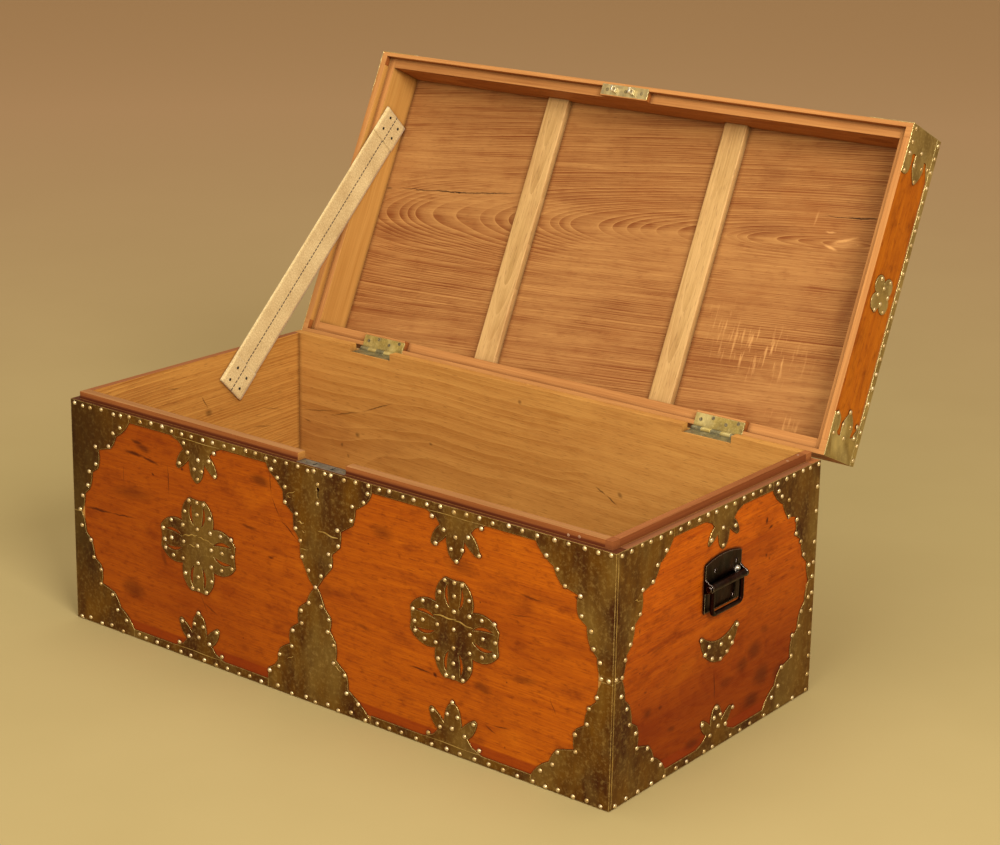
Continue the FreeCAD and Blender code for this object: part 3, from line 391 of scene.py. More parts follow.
def cotton_webbing(name):
    """Narrow-woven cotton band: threads over and under each other, soft and matt, with a dark thread
    stitched down the middle. Its UV map is in metres, across and along the band."""
    finish, tree, shader = new_finish(name)
    uv = add(tree, "TexCoord").outputs["UV"]
    place = add(tree, "SeparateXYZ", links={0: uv})
    # The real threads are about 1 mm apart; they are drawn 2.2 to 2.6 mm apart, the finest that shows.
    waves = []
    for axis, pitch in (("X", 0.0026), ("Y", 0.0022)):
        turns = sum_of(tree, ((place.outputs[axis], 2 * math.pi / pitch),))
        waves.append(add(tree, "Math", {"operation": "SINE"}, {0: turns}).outputs[0])
    weave = both(tree, *waves)
    slub = noise(tree, uv, 420.0, 2.0)
    soil = noise(tree, uv, 22.0, 3.0)
    tone = sum_of(tree, ((weave, 0.45), (slub, 1.1), (soil, 0.8)), -0.45)
    colour = wash(tree, "#f0e2ae", tone, "#a98c55")
    across = add(tree, "Math", {"operation": "ABSOLUTE"}, {0: place.outputs["X"]})
    seam = ramp(tree, across.outputs[0], 0.0013, 0.0007)
    stitch = add(tree, "Math", {"operation": "MULTIPLY", 1: 1 / 0.0065}, {0: place.outputs["Y"]})
    turn = add(tree, "Math", {"operation": "FRACT"}, {0: stitch.outputs[0]})
    thread = add(tree, "Math", {"operation": "LESS_THAN", 1: 0.72}, {0: turn.outputs[0]})
    dark = both(tree, seam, thread.outputs[0])
    colour = wash(tree, colour, dark, "#3b2f22")
    raised = sum_of(tree, ((weave, 0.5), (dark, -1.0)))
    bump = add(tree, "Bump", {"Strength": 0.6, "Distance": 0.0004}, {"Height": raised})
    tree.links.new(colour, shader.inputs["Base Color"])
    tree.links.new(bump.outputs[0], shader.inputs["Normal"])
    shader.inputs["Roughness"].default_value = 0.92
    shader.inputs["Sheen Weight"].default_value = 0.25
    return finish


def studio_floor(name):
    """Matt painted floor, plain and pale, a little browner far off, with a faint mottle."""
    finish, tree, shader = new_finish(name)
    place = add(tree, "TexCoord").outputs["Object"]
    near = wash(tree, "#ada072", noise(tree, place, 3.0, 3.0), "#a49769")
    away = add(tree, "VectorMath", {"operation": "LENGTH"}, {0: place})
    far = ramp(tree, away.outputs["Value"], 1.0, 4.5)
    tree.links.new(wash(tree, near, far, "#cbb08e"), shader.inputs["Base Color"])
    shader.inputs["Roughness"].default_value = 0.85
    shader.inputs["Specular IOR Level"].default_value = 0.2
    return finish


# Where the wood is marked and worn

X, Y, Z = (1, 0, 0), (0, 1, 0), (0, 0, 1)
# On the front and the back by (x, z), on the ends by (y, z), as marks takes them.
FRONT_STROKES = (
    (-270, 268, -270, 221, 1.8, 0.9), (-357, 250, -357, 215, 1.6, 0.5), (-440, 168, -376, 171, 4.6, 0.9),
    (-388, 170, -336, 174, 2.8, 0.85), (-358, 267, -312, 266, 6.6, 0.9), (-326, 267, -284, 259, 5.0, 0.85),
    (-344, 285, -316, 282, 6.0, 0.8), (-334, 280, -300, 275, 13.0, 0.65), (-302, 246, -296, 243, 5.0, 0.9),
    (-247, 264, -241, 264, 5.0, 0.9), (-392, 204, -290, 214, 26.0, 0.35), (-370, 72, -315, 70, 36.0, 0.5),
    (-287, 146, -277, 116, 10.0, 0.4), (-212, 88, -178, 74, 3.4, 0.6), (-122, 282, -80, 280, 18.0, 0.65),
    (-85, 302, -81, 262, 1.8, 0.85), (-81, 265, -66, 237, 1.8, 0.9), (-68, 239, -33, 213, 2.0, 0.95),
    (-140, 214, -104, 211, 6.0, 0.65), (-90, 181, -78, 181, 5.0, 0.75), (-216, 101, -199, 70, 1.8, 0.6),
    (146, 98, 194, 97, 3.4, 0.9), (189, 99, 197, 95, 7.0, 0.95), (270, 56, 290, 46, 2.4, 0.8),
    (282, 57, 310, 60, 2.4, 0.8), (316, 236, 361, 234, 3.6, 0.75), (303, 206, 342, 212, 2.4, 0.6),
    (367, 119, 379, 97, 1.8, 0.7), (398, 253, 410, 251, 5.0, 0.85), (84, 262, 128, 258, 24.0, 0.4),
    (10, 256, 60, 254, 22.0, 0.35), (2, 166, 20, 156, 30.0, 0.35), (250, 104, 284, 98, 18.0, 0.55),
    (60, 132, 92, 124, 8.0, 0.4), (200, 250, 262, 244, 26.0, 0.35), (300, 126, 360, 132, 12.0, 0.4))
RIGHT_END_STROKES = (
    (99, 276, 100, 265, 7.0, 0.95), (103, 259, 116, 261, 4.6, 0.95), (99, 226, 104, 222, 5.0, 0.7),
    (107, 220, 112, 218, 5.0, 0.6), (-172, 213, -172, 205, 3.4, 0.7), (-160, 128, -152, 127, 4.0, 0.6),
    (-9, 108, -3, 62, 3.4, 0.7), (62, 108, 104, 98, 30.0, 0.55), (80, 66, 128, 60, 36.0, 0.6),
    (40, 94, 74, 90, 26.0, 0.5), (128, 52, 160, 56, 26.0, 0.6), (-108, 62, -88, 60, 10.0, 0.5),
    (-128, 98, -118, 96, 7.0, 0.6), (-72, 26, -30, 22, 18.0, 0.6), (2, 82, 36, 80, 18.0, 0.35),
    (60, 38, 104, 34, 24.0, 0.65), (-160, 98, -140, 98, 16.0, 0.55), (160, 190, 176, 186, 10.0, 0.35),
    (94, 128, 118, 122, 14.0, 0.35), (-150, 178, -120, 172, 10.0, 0.25), (20, 166, 60, 170, 3.0, 0.3),
    (-96, 310, -84, 308, 5.0, 0.3), (100, 56, 110, 58, 5.0, 0.6), (148, 202, 156, 203, 3.4, 0.5))
BACK_STROKES = (
    (-375, 212, -310, 231, 3.0, 0.5), (-312, 230, -247, 257, 2.6, 0.7), (-441, 208, -354, 223, 2.4, 0.5),
    (118, 212, 138, 202, 3.0, 0.7), (136, 204, 157, 193, 3.0, 0.7), (156, 212, 165, 204, 8.0, 0.5),
    (-18, 308, -12, 303, 8.0, 0.5), (-324, 196, -314, 191, 9.0, 0.5), (-352, 174, -349, 168, 7.0, 0.45),
    (-340, 160, -336, 154, 6.0, 0.4), (-428, 196, -412, 194, 2.4, 0.6), (-180, 211, -172, 208, 5.0, 0.5))
LEFT_END_STROKES = (
    (-1, 276, 13, 254, 2.0, 0.7), (6, 251, 22, 243, 14.0, 0.5), (10, 249, 18, 247, 6.0, 0.6),
    (-64, 300, -40, 296, 3.0, 0.5), (100, 206, 150, 196, 3.0, 0.4), (-120, 262, -80, 270, 2.4, 0.35),
    (120, 232, 170, 216, 2.4, 0.35))
# The lid panel, seen with the hinge side up. Its two shakes, and where its rings have sprung.
PANEL_CRACKS = (
    (-418, -31, -320, -38, 2.2, 0.75), (-380, -33, -230, -47, 2.6, 1.0), (-300, -40, -178, -56, 2.2, 0.85),
    (318, -97, 372, -101, 1.8, 0.7), (350, -99, 414, -106, 3.0, 1.0), (-438, -28, -424, -29, 6.0, 0.5))
PANEL_CHIPS = ((334, -58, 358, -54, 5.0, 1.0), (344, -62, 384, -76, 5.0, 0.9), (330, -76, 350, -78, 3.5, 0.7),
               (338, -58, 392, -72, 18.0, 0.35), (312, -80, 314, -106, 4.0, 0.35))

PANEL_SOIL = (
    (-446, 40, -332, 36, 34.0, 0.55), (-444, 5, -350, -6, 26.0, 0.4), (384, 58, 404, -16, 26.0, 0.6),
    (206, -140, 262, -142, 46.0, 0.5), (176, -60, 300, -74, 26.0, 0.5), (-150, -60, -20, -66, 24.0, 0.35),
    (300, 30, 372, 34, 30.0, 0.35), (-60, 90, 120, 84, 34.0, 0.3), (-420, -150, -200, -160, 30.0, 0.3))


def strokes_on(along, across, lid, strokes):
    """Marks whose places are measured along two of the chest's axes, with the lid shut."""
    def laid(tree):
        return marks(tree, grain_space(tree, along, across, (0, 0, 0), lid), strokes)
    return laid


def panel_scrapes(tree, grain):
    """Pale chips where a knot fell out, and rows of short scrapes across the grain of the right bay."""
    face = grain_space(tree, X, Y, (0, 0, 0), True)
    chips = marks(tree, face, PANEL_CHIPS)
    # Scrapes about 4 mm wide and 35 mm long, in two fields.
    rows = ramp(tree, noise(tree, scaled(tree, face, (210, 28, 28)), 1.0, 2.0), 0.54, 0.68)
    fields = marks(tree, face, ((190, 96, 372, 110, 90.0, 0.75), (196, 60, 236, 66, 60.0, 0.6),
                                (300, 190, 390, 196, 40.0, 0.5)))
    return either(tree, chips, both(tree, rows, fields))


def shaded_left_half(tree):
    """Painted shade over the front's left half, which lies away from the light."""
    return beyond(tree, (-1, 0, 0), 0.02, soft=0.42)


def low_down(tree):
    """An end's lower half, darker towards the bottom."""
    return beyond(tree, (0, 0, -1), -0.165, soft=0.085)


def rim_face(direction):
    """The outer face of the rebated rim above a board's ledge."""
    return lambda tree: both(tree, beyond(tree, Z, BOARD_TOP + 0.0005), facing(tree, direction))


def rim_top(tree):
    """The top of the rebated rim."""
    return both(tree, beyond(tree, Z, BOARD_TOP + 0.002), facing(tree, Z))


def ledge(tree):
    """The flat step outside the rim, which carries the lid."""
    return both(tree, beyond(tree, Z, BOARD_TOP - 0.0006), beyond(tree, (0, 0, -1), -(BOARD_TOP + 0.0006)),
                facing(tree, Z))


def rim_foot(tree):
    """The bottom of the front rim's face, dark with old varnish."""
    return both(tree, rim_face((0, -1, 0))(tree), beyond(tree, (0, 0, -1), -0.3235, soft=0.0012))


def rim_end(tree):
    """The front rim's end grain at the right, brown with polish."""
    return both(tree, beyond(tree, Z, BOARD_TOP - 0.0006), beyond(tree, X, 0.4362))


def rim_corner(tree):
    """The back board's rim and ledge at the right end."""
    return both(tree, beyond(tree, Z, BOARD_TOP - 0.0006), beyond(tree, X, 0.437))


def keyhole_shade(tree):
    """The keyhole's wall, painted dark as the shade deep inside the hole."""
    near = marks(tree, grain_space(tree, X, Z, (0, 0, 0)), ((0, 272, 0, 310, 30.0, 1.0),))
    return both(tree, add(tree, "Math", {"operation": "GREATER_THAN", 1: 0.05}, {0: near}).outputs[0],
                beyond(tree, Y, -0.2232))


def lid_mouth(tree):
    """The lid rails' rim, which meets the carcass."""
    return facing(tree, (0, 0, -1), True)


def lid_inside(sign):
    return lambda tree: facing(tree, (-sign, 0, 0), True)


def shaded_left_brass(tree):
    """Painted shade on the brass at the left end of the front, above its foot, where the light is weak and
    the brass looks nearly black.
    """
    return both(tree, beyond(tree, (-1, 0, 0), 0.388, soft=0.05), beyond(tree, Z, 0.07, soft=0.05))


def link_staple(tree):
    """The link plate's two steel staples, below the plate itself."""
    return beyond(tree, (0, 0, -1), -0.3192, True)


# Finishes

# The carcass's sheet brass, with painted shade at the left end of the front.
brass = old_metal("sheet_brass_with_brown_patina", "#d8be76", "#765010", "#472204",
                  0.75, 0.42, 0.045, 0.0013, 0.36, 0.3, "#866c34", (shaded_left_brass, "#2a1603", 0.6))
lid_brass = old_metal("sheet_brass_polished_thin", "#e6d898", "#b29c5c", "#86703c",
                      0.75, 0.4, 0.03, 0.0013, 0.45)
fold_brass = old_metal("rubbed_brass_folds", "#e6cf8a", "#bfa254", "#8a6a2a", 0.6, 0.36, 0.02, 0.0004, 0.4,
                       0.05)
nail_brass = old_metal("domed_brass_nail_heads", "#fff5de", "#e8d8ac", "#a98c50",
                       0.8, 0.25, 0.02, 0.0004, 0.5, 0.05)
hinge_brass = old_metal("tarnished_brass_hinge_plate", "#fdf2ae", "#c4b062", "#8c7c48",
                        0.7, 0.32, 0.02, 0.0006, 0.5, 0.1)
link_metal = old_metal("tarnished_brass_and_steel_link_plate", "#fdf2ae", "#c4b062", "#8c7c48",
                       0.7, 0.36, 0.01, 0.0006, 0.5, 0.1, None, (link_staple, "#c9c5b8", 0.95))
hinge_grey = old_metal("greyed_brass_hinge_leaf", "#c8c098", "#8f8a66", "#5c5a44",
                       0.65, 0.38, 0.012, 0.0006, 0.5, 0.1)
lock_steel = old_metal("filed_lock_steel", "#b9b4a8", "#8b877e", "#5e5a52", 0.8, 0.4, 0.02, 0.0006, 0.5, 0.08)
bright_steel = old_metal("bright_steel_rivet_heads", "#f4f2ea", "#c4c1b7", "#7d786f",
                         0.85, 0.25, 0.006, 0.0003, 0.5, 0.05)
dull_steel = old_metal("dull_steel_screw_heads", "#b4ab8e", "#8d8362", "#5c543c",
                       0.7, 0.42, 0.006, 0.0004, 0.4, 0.05)
iron = old_metal("blacked_wrought_iron", "#c9c0bd", "#2f110e", "#140706", 1.0, 0.27, 0.012, 0.001, 0.035, 0.3)
pale_pin = old_metal("bare_bone_coloured_pin_ends", "#d8c0a4", "#b08c6c", "#8a6448",
                     0.1, 0.5, 0.004, 0.0003, 0.4, 0.05)
black_tack = old_metal("blued_steel_tacks", "#55504a", "#28221d", "#17120f", 0.6, 0.45, 0.004, 0.0003, 0.4,
                       0.1)
webbing = cotton_webbing("woven_cotton_webbing")

BARE, BARE_DARK = "#c69650", "#99672d"
front_zones = [(rim_top, "#a3774a", "#7e5028"), (rim_face((0, -1, 0)), "#985e32", "#703c1c"),
               (rim_foot, "#66301a", "#421a0c"), (rim_end, "#8e5630", "#693a1e"),
               (ledge, "#5c3018", "#331608"), (keyhole_shade, "#1c0f08", "#120a05")]
end_zones = [(rim_top, "#965f38", "#70401f"), (ledge, "#8e6040", "#6e422a")]
front_teak = teak("varnished_teak_front", X, (0, 0, 1), (0.1, 0, 0.17), BARE, BARE_DARK, 0.08, 0.06, 0.004,
                  varnish=[((0, -1, 0), 0.2231)], zones=front_zones, foot=True,
                  shades=[(shaded_left_half, "#6a2203", 0.42)], strokes=strokes_on(X, Z, False, FRONT_STROKES))
back_teak = teak("bare_teak_back", (1, 0, -0.03), (0.03, 0, 1), (-0.3, 0, 0.14), BARE, "#a06c30", 0.25, 0.02,
                 0.006, rings=0.26, zones=[(rim_corner, "#a0683c", "#7c4624")],
                 cracks=strokes_on(X, Z, False, BACK_STROKES))
bottom_teak = teak("bare_teak_bottom", X, Y, (0.2, 0.1, 0), "#bc8c48", "#90602a", 0.08, 0.06, 0.005)
end_teaks = {
    side: teak(f"varnished_teak_{side}_end", Y, Z, (0, 0.2 * sign, 0.1), "#c6954c", "#9a652b",
               0.07, 0.12, 0.005, varnish=[((sign, 0, 0), 0.4565)], coats=("#c06308", "#8e3704"),
               zones=end_zones + [(rim_face((sign, 0, 0)), "#824b29", "#5e2e16")], foot=True,
               shades=[(low_down, "#5e1a02", 0.72)], strokes=strokes_on(Y, Z, False, RIGHT_END_STROKES),
               cracks=strokes_on(Y, Z, False, LEFT_END_STROKES) if sign < 0 else None)
    for side, sign in SIDES}
RAIL, RAIL_DARK, MOUTH_PALE, MOUTH_DARK = "#ad7039", "#81461c", "#c08c54", "#8a5529"
RAIL_COATS = ("#b86c0f", "#8a3e05")
front_rail_teak = teak("varnished_teak_lid_front_rail", X, Z, (0.1, 0, 0.36), RAIL, RAIL_DARK, 0.08, 0.03,
                       0.006, lid=True, varnish=[((0, -1, 0), FRONT_WOOD - 0.002)], coats=RAIL_COATS,
                       zones=[(lid_mouth, MOUTH_PALE, MOUTH_DARK)])
back_rail_teak = teak("varnished_teak_lid_back_rail", X, Z, (-0.2, 0, 0.36), RAIL, RAIL_DARK, 0.08, 0.03,
                      0.006, lid=True, varnish=[((0, 1, 0), FRONT_WOOD - 0.002)], coats=RAIL_COATS,
                      zones=[(lid_mouth, MOUTH_PALE, MOUTH_DARK)])
side_rail_teaks = {
    side: teak(f"varnished_teak_lid_{side}_rail", Y, Z, (0, 0.05 * sign, 0.36), RAIL, RAIL_DARK, 0.06,
               0.03, 0.006, lid=True, varnish=[((sign, 0, 0), END_WOOD - 0.002)], coats=RAIL_COATS,
               zones=[(lid_inside(sign), "#cb9e58", "#a87434"), (lid_mouth, MOUTH_PALE, MOUTH_DARK)])
    for side, sign in SIDES}
panel_teak = teak("figured_teak_lid_panel", (1, -0.09, 0), (0.09, 1, 0), (0, -0.032, 0.392), "#b58750",
                  "#77411f", 0.036, 0.1, 0.0028, 0.008, lid=True, rings=0.5,
                  varnish=[((0, 0, 1), LID_TOP - 0.003)], soil=strokes_on(X, Y, True, PANEL_SOIL),
                  cracks=strokes_on(X, Y, True, PANEL_CRACKS), scrapes=panel_scrapes)
batten_teaks = {
    side: teak(f"pale_teak_{side}_batten", (0, -1, 0), X, (0.155 * sign, 0.1 * sign, 0.39), "#ccaa74",
               "#a68652", 0.015, 0.06, 0.005, 0.008, lid=True, rings=0.3)
    for side, sign in SIDES}


def finish_node(node, material):
    """Gives a CAD node its material."""
    slots = NODES[node].data.materials
    if len(slots):
        for index in range(len(slots)):
            slots[index] = material
    else:
        slots.append(material)


FINISHES = {"front_board": front_teak, "back_board": back_teak, "bottom_board": bottom_teak,
            "lid_front_rail": front_rail_teak, "lid_back_rail": back_rail_teak, "lid_panel": panel_teak,
            "lid_edge_binding": lid_brass, "lid_quatrefoils": lid_brass,
            "lock_case": lock_steel, "lock_bolt": lock_steel, "lock_link_plate": link_metal,
            "stay_webbing": webbing}
for side, sign in SIDES:
    FINISHES[f"{side}_end_board"] = end_teaks[side]
    FINISHES[f"lid_{side}_rail"] = side_rail_teaks[side]
    FINISHES[f"lid_{side}_batten"] = batten_teaks[side]
    FINISHES[f"lid_front_corner_{side}"] = lid_brass
    FINISHES[f"lid_rear_corner_{side}"] = lid_brass
    FINISHES[f"{side}_hinge_lid_leaf"] = hinge_brass
    FINISHES[f"{side}_hinge_carcass_leaf"] = hinge_grey
    FINISHES[f"{side}_hinge_pin"] = hinge_grey
    for part in ("plate", "pin", "bail"):
        FINISHES[f"{side}_handle_{part}"] = iron
for node in NODES:
    finish_node(node, FINISHES.get(node, brass))


# Small shapes

def finished(bm, name, material, body, smooth=True, place=STILL):
    """Turns a bmesh into a piece whose place is in its mesh, and lets it ride on its body."""
    bmesh.ops.transform(bm, matrix=place, verts=bm.verts)
    bmesh.ops.recalc_face_normals(bm, faces=bm.faces)
    mesh = bpy.data.meshes.new(name)
    bm.to_mesh(mesh)
    bm.free()
    for face in mesh.polygons:
        face.use_smooth = smooth
    mesh.materials.append(material)
    piece = bpy.data.objects.new(name, mesh)
    bpy.context.scene.collection.objects.link(piece)
    if body:
        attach(piece, body)
    return piece


def standing_on(point, outward, spin=0.0):
    """A placement with its Z along outward."""
    turn = Vector(outward).to_track_quat("Z", "Y").to_matrix().to_4x4()
    return Matrix.Translation(Vector(point)) @ turn @ Matrix.Rotation(spin, 4, "Z")


def repeated(head, places):
    """Copies of a small mesh, one for each placement."""
    bm = bmesh.new()
    for place in places:
        old = len(bm.verts)
        bm.from_mesh(head)
        bm.verts.ensure_lookup_table()
        bmesh.ops.transform(bm, matrix=place, verts=bm.verts[old:])
    return bm


def head_mesh(name, bm):
    mesh = bpy.data.meshes.new(name)
    bmesh.ops.recalc_face_normals(bm, faces=bm.faces)
    bm.to_mesh(mesh)
    bm.free()
    return mesh


def dome(radius, height):
    """A nail's domed head, closed underneath."""
    bm = bmesh.new()
    bmesh.ops.create_uvsphere(bm, u_segments=10, v_segments=8, radius=radius)
    bmesh.ops.bisect_plane(bm, geom=bm.verts[:] + bm.edges[:] + bm.faces[:], plane_co=(0, 0, 0),
                           plane_no=(0, 0, 1), clear_inner=True)
    bmesh.ops.holes_fill(bm, edges=[e for e in bm.edges if e.is_boundary])
    bmesh.ops.scale(bm, vec=(1, 1, height / radius), verts=bm.verts)
    return head_mesh("dome", bm)


def slotted_head(radius, height):
    """A countersunk screw's flat head with its driver slot."""
    bm = bmesh.new()
    bmesh.ops.create_cone(bm, cap_ends=True, segments=20, radius1=radius, radius2=radius * 0.86, depth=height)
    bmesh.ops.translate(bm, vec=(0, 0, height / 2), verts=bm.verts)
    for side in (-1, 1):
        bmesh.ops.bisect_plane(bm, geom=bm.verts[:] + bm.edges[:] + bm.faces[:],
                               plane_co=(0, side * radius * 0.13, 0), plane_no=(0, 1, 0))
    slot = [f for f in bm.faces if f.normal.z > 0.9 and abs(f.calc_center_median().y) < radius * 0.1]
    raised = bmesh.ops.extrude_face_region(bm, geom=slot)
    bmesh.ops.delete(bm, geom=slot, context="FACES_ONLY")
    bmesh.ops.translate(bm, vec=(0, 0, -height * 0.7),
                        verts=[v for v in raised["geom"] if isinstance(v, bmesh.types.BMVert)])
    return head_mesh("slotted", bm)


# Nails

shake = random.Random(11)
NAIL = dome(3.0 * MM, 2.0 * MM)


def hammered(point, outward):
    """A nail's placement, a little off square as one driven by hand, and sunk by a tenth of a millimetre."""
    lean = Vector([shake.uniform(-0.08, 0.08) for _ in range(3)])
    size = shake.uniform(0.92, 1.06)
    way = (Vector(outward) + lean).normalized()
    return standing_on(Vector(point) - way * 0.1 * MM, way, shake.uniform(0, 6.28)) @ Matrix.Scale(size, 4)


def on_front(x, z):
    return hammered((x * MM, -FRONT_BRASS, z * MM), (0, -1, 0))


def on_end(sign, y, z):
    return hammered((sign * END_BRASS, y * MM, z * MM), (sign, 0, 0))


def row(start, end, pitch, jitter=1.6):
    """Hand-spaced places from start to end, about pitch apart."""
    count = round((end - start) / pitch)
    return [start + (end - start) * k / count + shake.uniform(-jitter, jitter) for k in range(count + 1)]


# All in millimetres, read off the photograph. Rows give x from the middle; the foot row also gives the
# height, as it zigzags. Corners give distances from the arris and from the board's top or foot; centre
# mounts give x and that distance; palmettes the same from their own middle; quatrefoils both from theirs.
FRONT_TOP = (-450, -434, -419, -397, -373, -359, -342, -321, -300, -279, -261, -242, -224, -203, -185, -164,
             -147, -125, -108, -89, -74, -54, -34, -17, -7, 12, 22, 44, 63, 84, 102, 118, 140, 157, 178, 199,
             220, 239, 259, 279, 303, 323, 345, 370, 390, 413, 432, 450)
FRONT_FOOT = ((-449, 3.4), (-431, 6.4), (-408, 3.6), (-388, 6.4), (-365, 3.3), (-333, 7.5), (-320, 5.6),
              (-298, 5.6), (-277, 4.9), (-252, 4.8), (-233, 4.3), (-207, 4.8), (-185, 4.1), (-164, 4.8),
              (-143, 3.4), (-123, 5.8), (-102, 4.4), (-72, 7.5), (-47, 3.4), (-22, 6.1), (-6, 3.3), (16, 6.1),
              (34, 3.3), (56, 6.8), (80, 3.3), (100, 5.0), (120, 4.6), (140, 5.2), (164, 4.4), (189, 4.5),
              (213, 5.4), (234, 4.9), (257, 5.1), (279, 5.4), (301, 5.0), (323, 4.0), (346, 4.6), (365, 3.3),
              (384, 5.0), (406, 3.5), (426, 5.2), (446, 4.1))
CORNER_UPPER = {
    -1: ((97, 22), (82.5, 32.4), (73.4, 53), (47, 59), (47, 84), (33, 97.4), (29.3, 118), (18, 135.5),
         (12.5, 156.7)),
    1: ((99, 25.5), (82.6, 38.5), (71.2, 56), (48.8, 63), (46.6, 86.7), (32.4, 102), (28.5, 122.5),
        (18.7, 136.7), (16.4, 156), (5.5, 156))}
CORNER_LOWER = {
    -1: ((12, 162), (15, 139.6), (32, 122), (37, 98), (51, 83), (50, 62), (73.4, 52), (82.5, 32), (99.6, 21)),
    1: ((21.7, 138), (32.4, 121), (34.7, 101), (51.3, 83), (50.2, 61.6), (76.2, 53), (83.3, 35), (101, 21.7))}
CENTRE_UPPER = ((-80.4, 18), (-69.7, 27), (-56.7, 36.3), (-56.7, 56.3), (-37, 67.7), (-38.4, 87.6),
                (-30.2, 102), (-27.5, 123), (-16.5, 138.5), (-4.7, 158.6), (83, 14), (76.3, 26.7),
                (57.6, 36.3), (55.8, 55.2), (33, 73.4), (34, 94), (17.7, 108.8), (20.9, 123.2), (4.9, 141),
                (0, 20.5), (-0.6, 46))
CENTRE_LOWER = ((-16.5, 136.5), (-30, 122.5), (-29, 105.6), (-44.6, 91.3), (-46.4, 69), (-68, 52), (-70, 35),
                (-86.4, 24.6), (4.9, 137), (17.7, 122.5), (16, 105.6), (25.7, 90), (26, 65.7), (44.8, 54.3),
                (48.3, 30.8), (67.7, 21.7))
PALMETTE_TOP = {
    -1: ((-22.8, 17), (-15.5, 28.5), (-31.5, 46.6), (-3.8, 49), (3.5, 35), (9.5, 49.5), (2, 62),
         (23.5, 32.6), (34, 51), (33, 19.7)),
    1: ((-36, 18), (-17.7, 31), (-30, 51), (0.8, 36.4), (-6, 52.6), (11.4, 50.4), (2.9, 66.6), (20.4, 32),
        (37.3, 51), (40, 16))}
PALMETTE_FOOT = ((-0.9, 69), (-8.7, 52), (7.5, 51.5), (-32, 50), (32.5, 50), (-20, 31.5), (-1, 34.5),
                 (19, 30), (-38.5, 18), (42, 18.4))
QUATREFOIL = ((-15, 61), (0, 61), (12, 61), (-23, 44), (0, 44), (23, 44), (-49, 26), (-27, 24), (0, 24),
              (24, 24), (43, 24), (62, 24), (-65, 11), (-49, 1), (-26, 1), (0, 1), (25, 1), (45, 1), (64, 1),
              (-62, -4), (-61, -16), (63, -16), (-46, -23), (-28, -23), (0, -23), (25, -23), (44, -23),
              (-24, -43), (0, -43), (25, -43), (-11, -61), (0, -61), (15, -61))
# The ends, by the corner's way from the middle of the depth: -1 by the front, 1 by the back.
END_UPPER = {
    -1: ((100.5, 23.5), (83, 36.6), (75, 55), (54.4, 58.7), (50.5, 87.5), (36.5, 101), (33, 119.6),
         (23.8, 136), (18.6, 156), (7, 155)),
    1: ((101.6, 15.6), (93, 24.7), (75.6, 34), (73.3, 56), (53.5, 66), (53.5, 84.7), (40.7, 99), (32, 119),
        (17.5, 137.7), (7.5, 156))}
END_LOWER = {
    -1: ((17.9, 139.7), (30, 120), (36.5, 98), (50, 82.4), (53.3, 62), (75.6, 54), (86.5, 35.5), (104.7, 22)),
    1: ((14.4, 136), (30, 121), (33.7, 102), (49.5, 94), (50, 66), (73.3, 57.6), (79.5, 34), (94, 22.7))}
END_PALMETTES = ((-27.7, 281), (-2.8, 290), (25, 285.5), (-1, 267), (-31, 42), (-4.4, 42), (9.5, 42), (0, 54),
                 (37, 42), (5, 28), (-12.6, 21), (22, 25))
END_FOOT = (-212, -190, -166, -138, -111, -86, -63, -24, -6, 35, 57, 80, 114, 147, 183, 216)
CRESCENT = ((-41, 156), (-23, 142), (4, 137), (23, 140), (39, 152), (-31, 134), (-15, 124), (4, 118),
            (18, 123), (29, 131))
LID_FRONT_CORNER = ((30, 41), (48, 52), (49, 29), (69, 41), (5, 9), (23, 9), (38, 9), (62, 7), (44, 68.7))
LID_REAR_CORNER = ((65, 39), (47, 50), (47, 29), (30, 39), (58, 7), (32, 9), (51, 67), (35, 67))
LID_FOIL = ((-20, 52), (0, 55), (20, 52), (-9, 39), (12, 39), (-20, 27), (2, 26), (22, 28))
PANELS = {-1: -216, 1: 222}
HALF_LENGTH, HALF_DEPTH, TOP, MOUTH = (
    size / MM for size in (END_BRASS, FRONT_BRASS, BOARD_TOP, LID_BASE))

front_nails = [on_front(x, TOP - 4.5 + shake.uniform(-1.6, 1.6)) for x in FRONT_TOP]
front_nails += [on_front(x, z) for x, z in FRONT_FOOT]
front_nails += [on_front(x, TOP - d) for x, d in CENTRE_UPPER] + [on_front(x, z) for x, z in CENTRE_LOWER]
for sign, middle in PANELS.items():
    front_nails += [on_front(sign * (HALF_LENGTH - x), TOP - d) for x, d in CORNER_UPPER[sign]]
    front_nails += [on_front(sign * (HALF_LENGTH - x), z) for x, z in CORNER_LOWER[sign]]
    front_nails += [on_front(middle + x, TOP - d) for x, d in PALMETTE_TOP[sign]]
    front_nails += [on_front(middle + x, z) for x, z in PALMETTE_FOOT]
    front_nails += [on_front(middle + x, 163.5 + z) for x, z in QUATREFOIL]
finished(repeated(NAIL, front_nails), "front_nails", nail_brass, "carcass")

for side, sign in SIDES:
    nails = [on_end(sign, y, TOP - 4.0 + shake.uniform(-1.2, 1.2)) for y in row(-215, 218, 19.8)]
    nails += [on_end(sign, y, 4.2 + shake.uniform(-0.8, 1.2)) for y in END_FOOT]
    for way in (-1, 1):
        nails += [on_end(sign, way * (HALF_DEPTH - x), TOP - d) for x, d in END_UPPER[way]]
        nails += [on_end(sign, way * (HALF_DEPTH - x), z) for x, z in END_LOWER[way]]
    nails += [on_end(sign, y, z) for y, z in END_PALMETTES + CRESCENT]
    nails += [on_end(sign, 218, z) for z in (285, 252, 210, 182, 140, 116, 84, 52, 26)]
    finished(repeated(NAIL, nails), f"{side}_end_nails", nail_brass, "carcass")


def on_lid(point, outward):
    return LID_OPEN @ hammered([c * MM for c in point], outward)


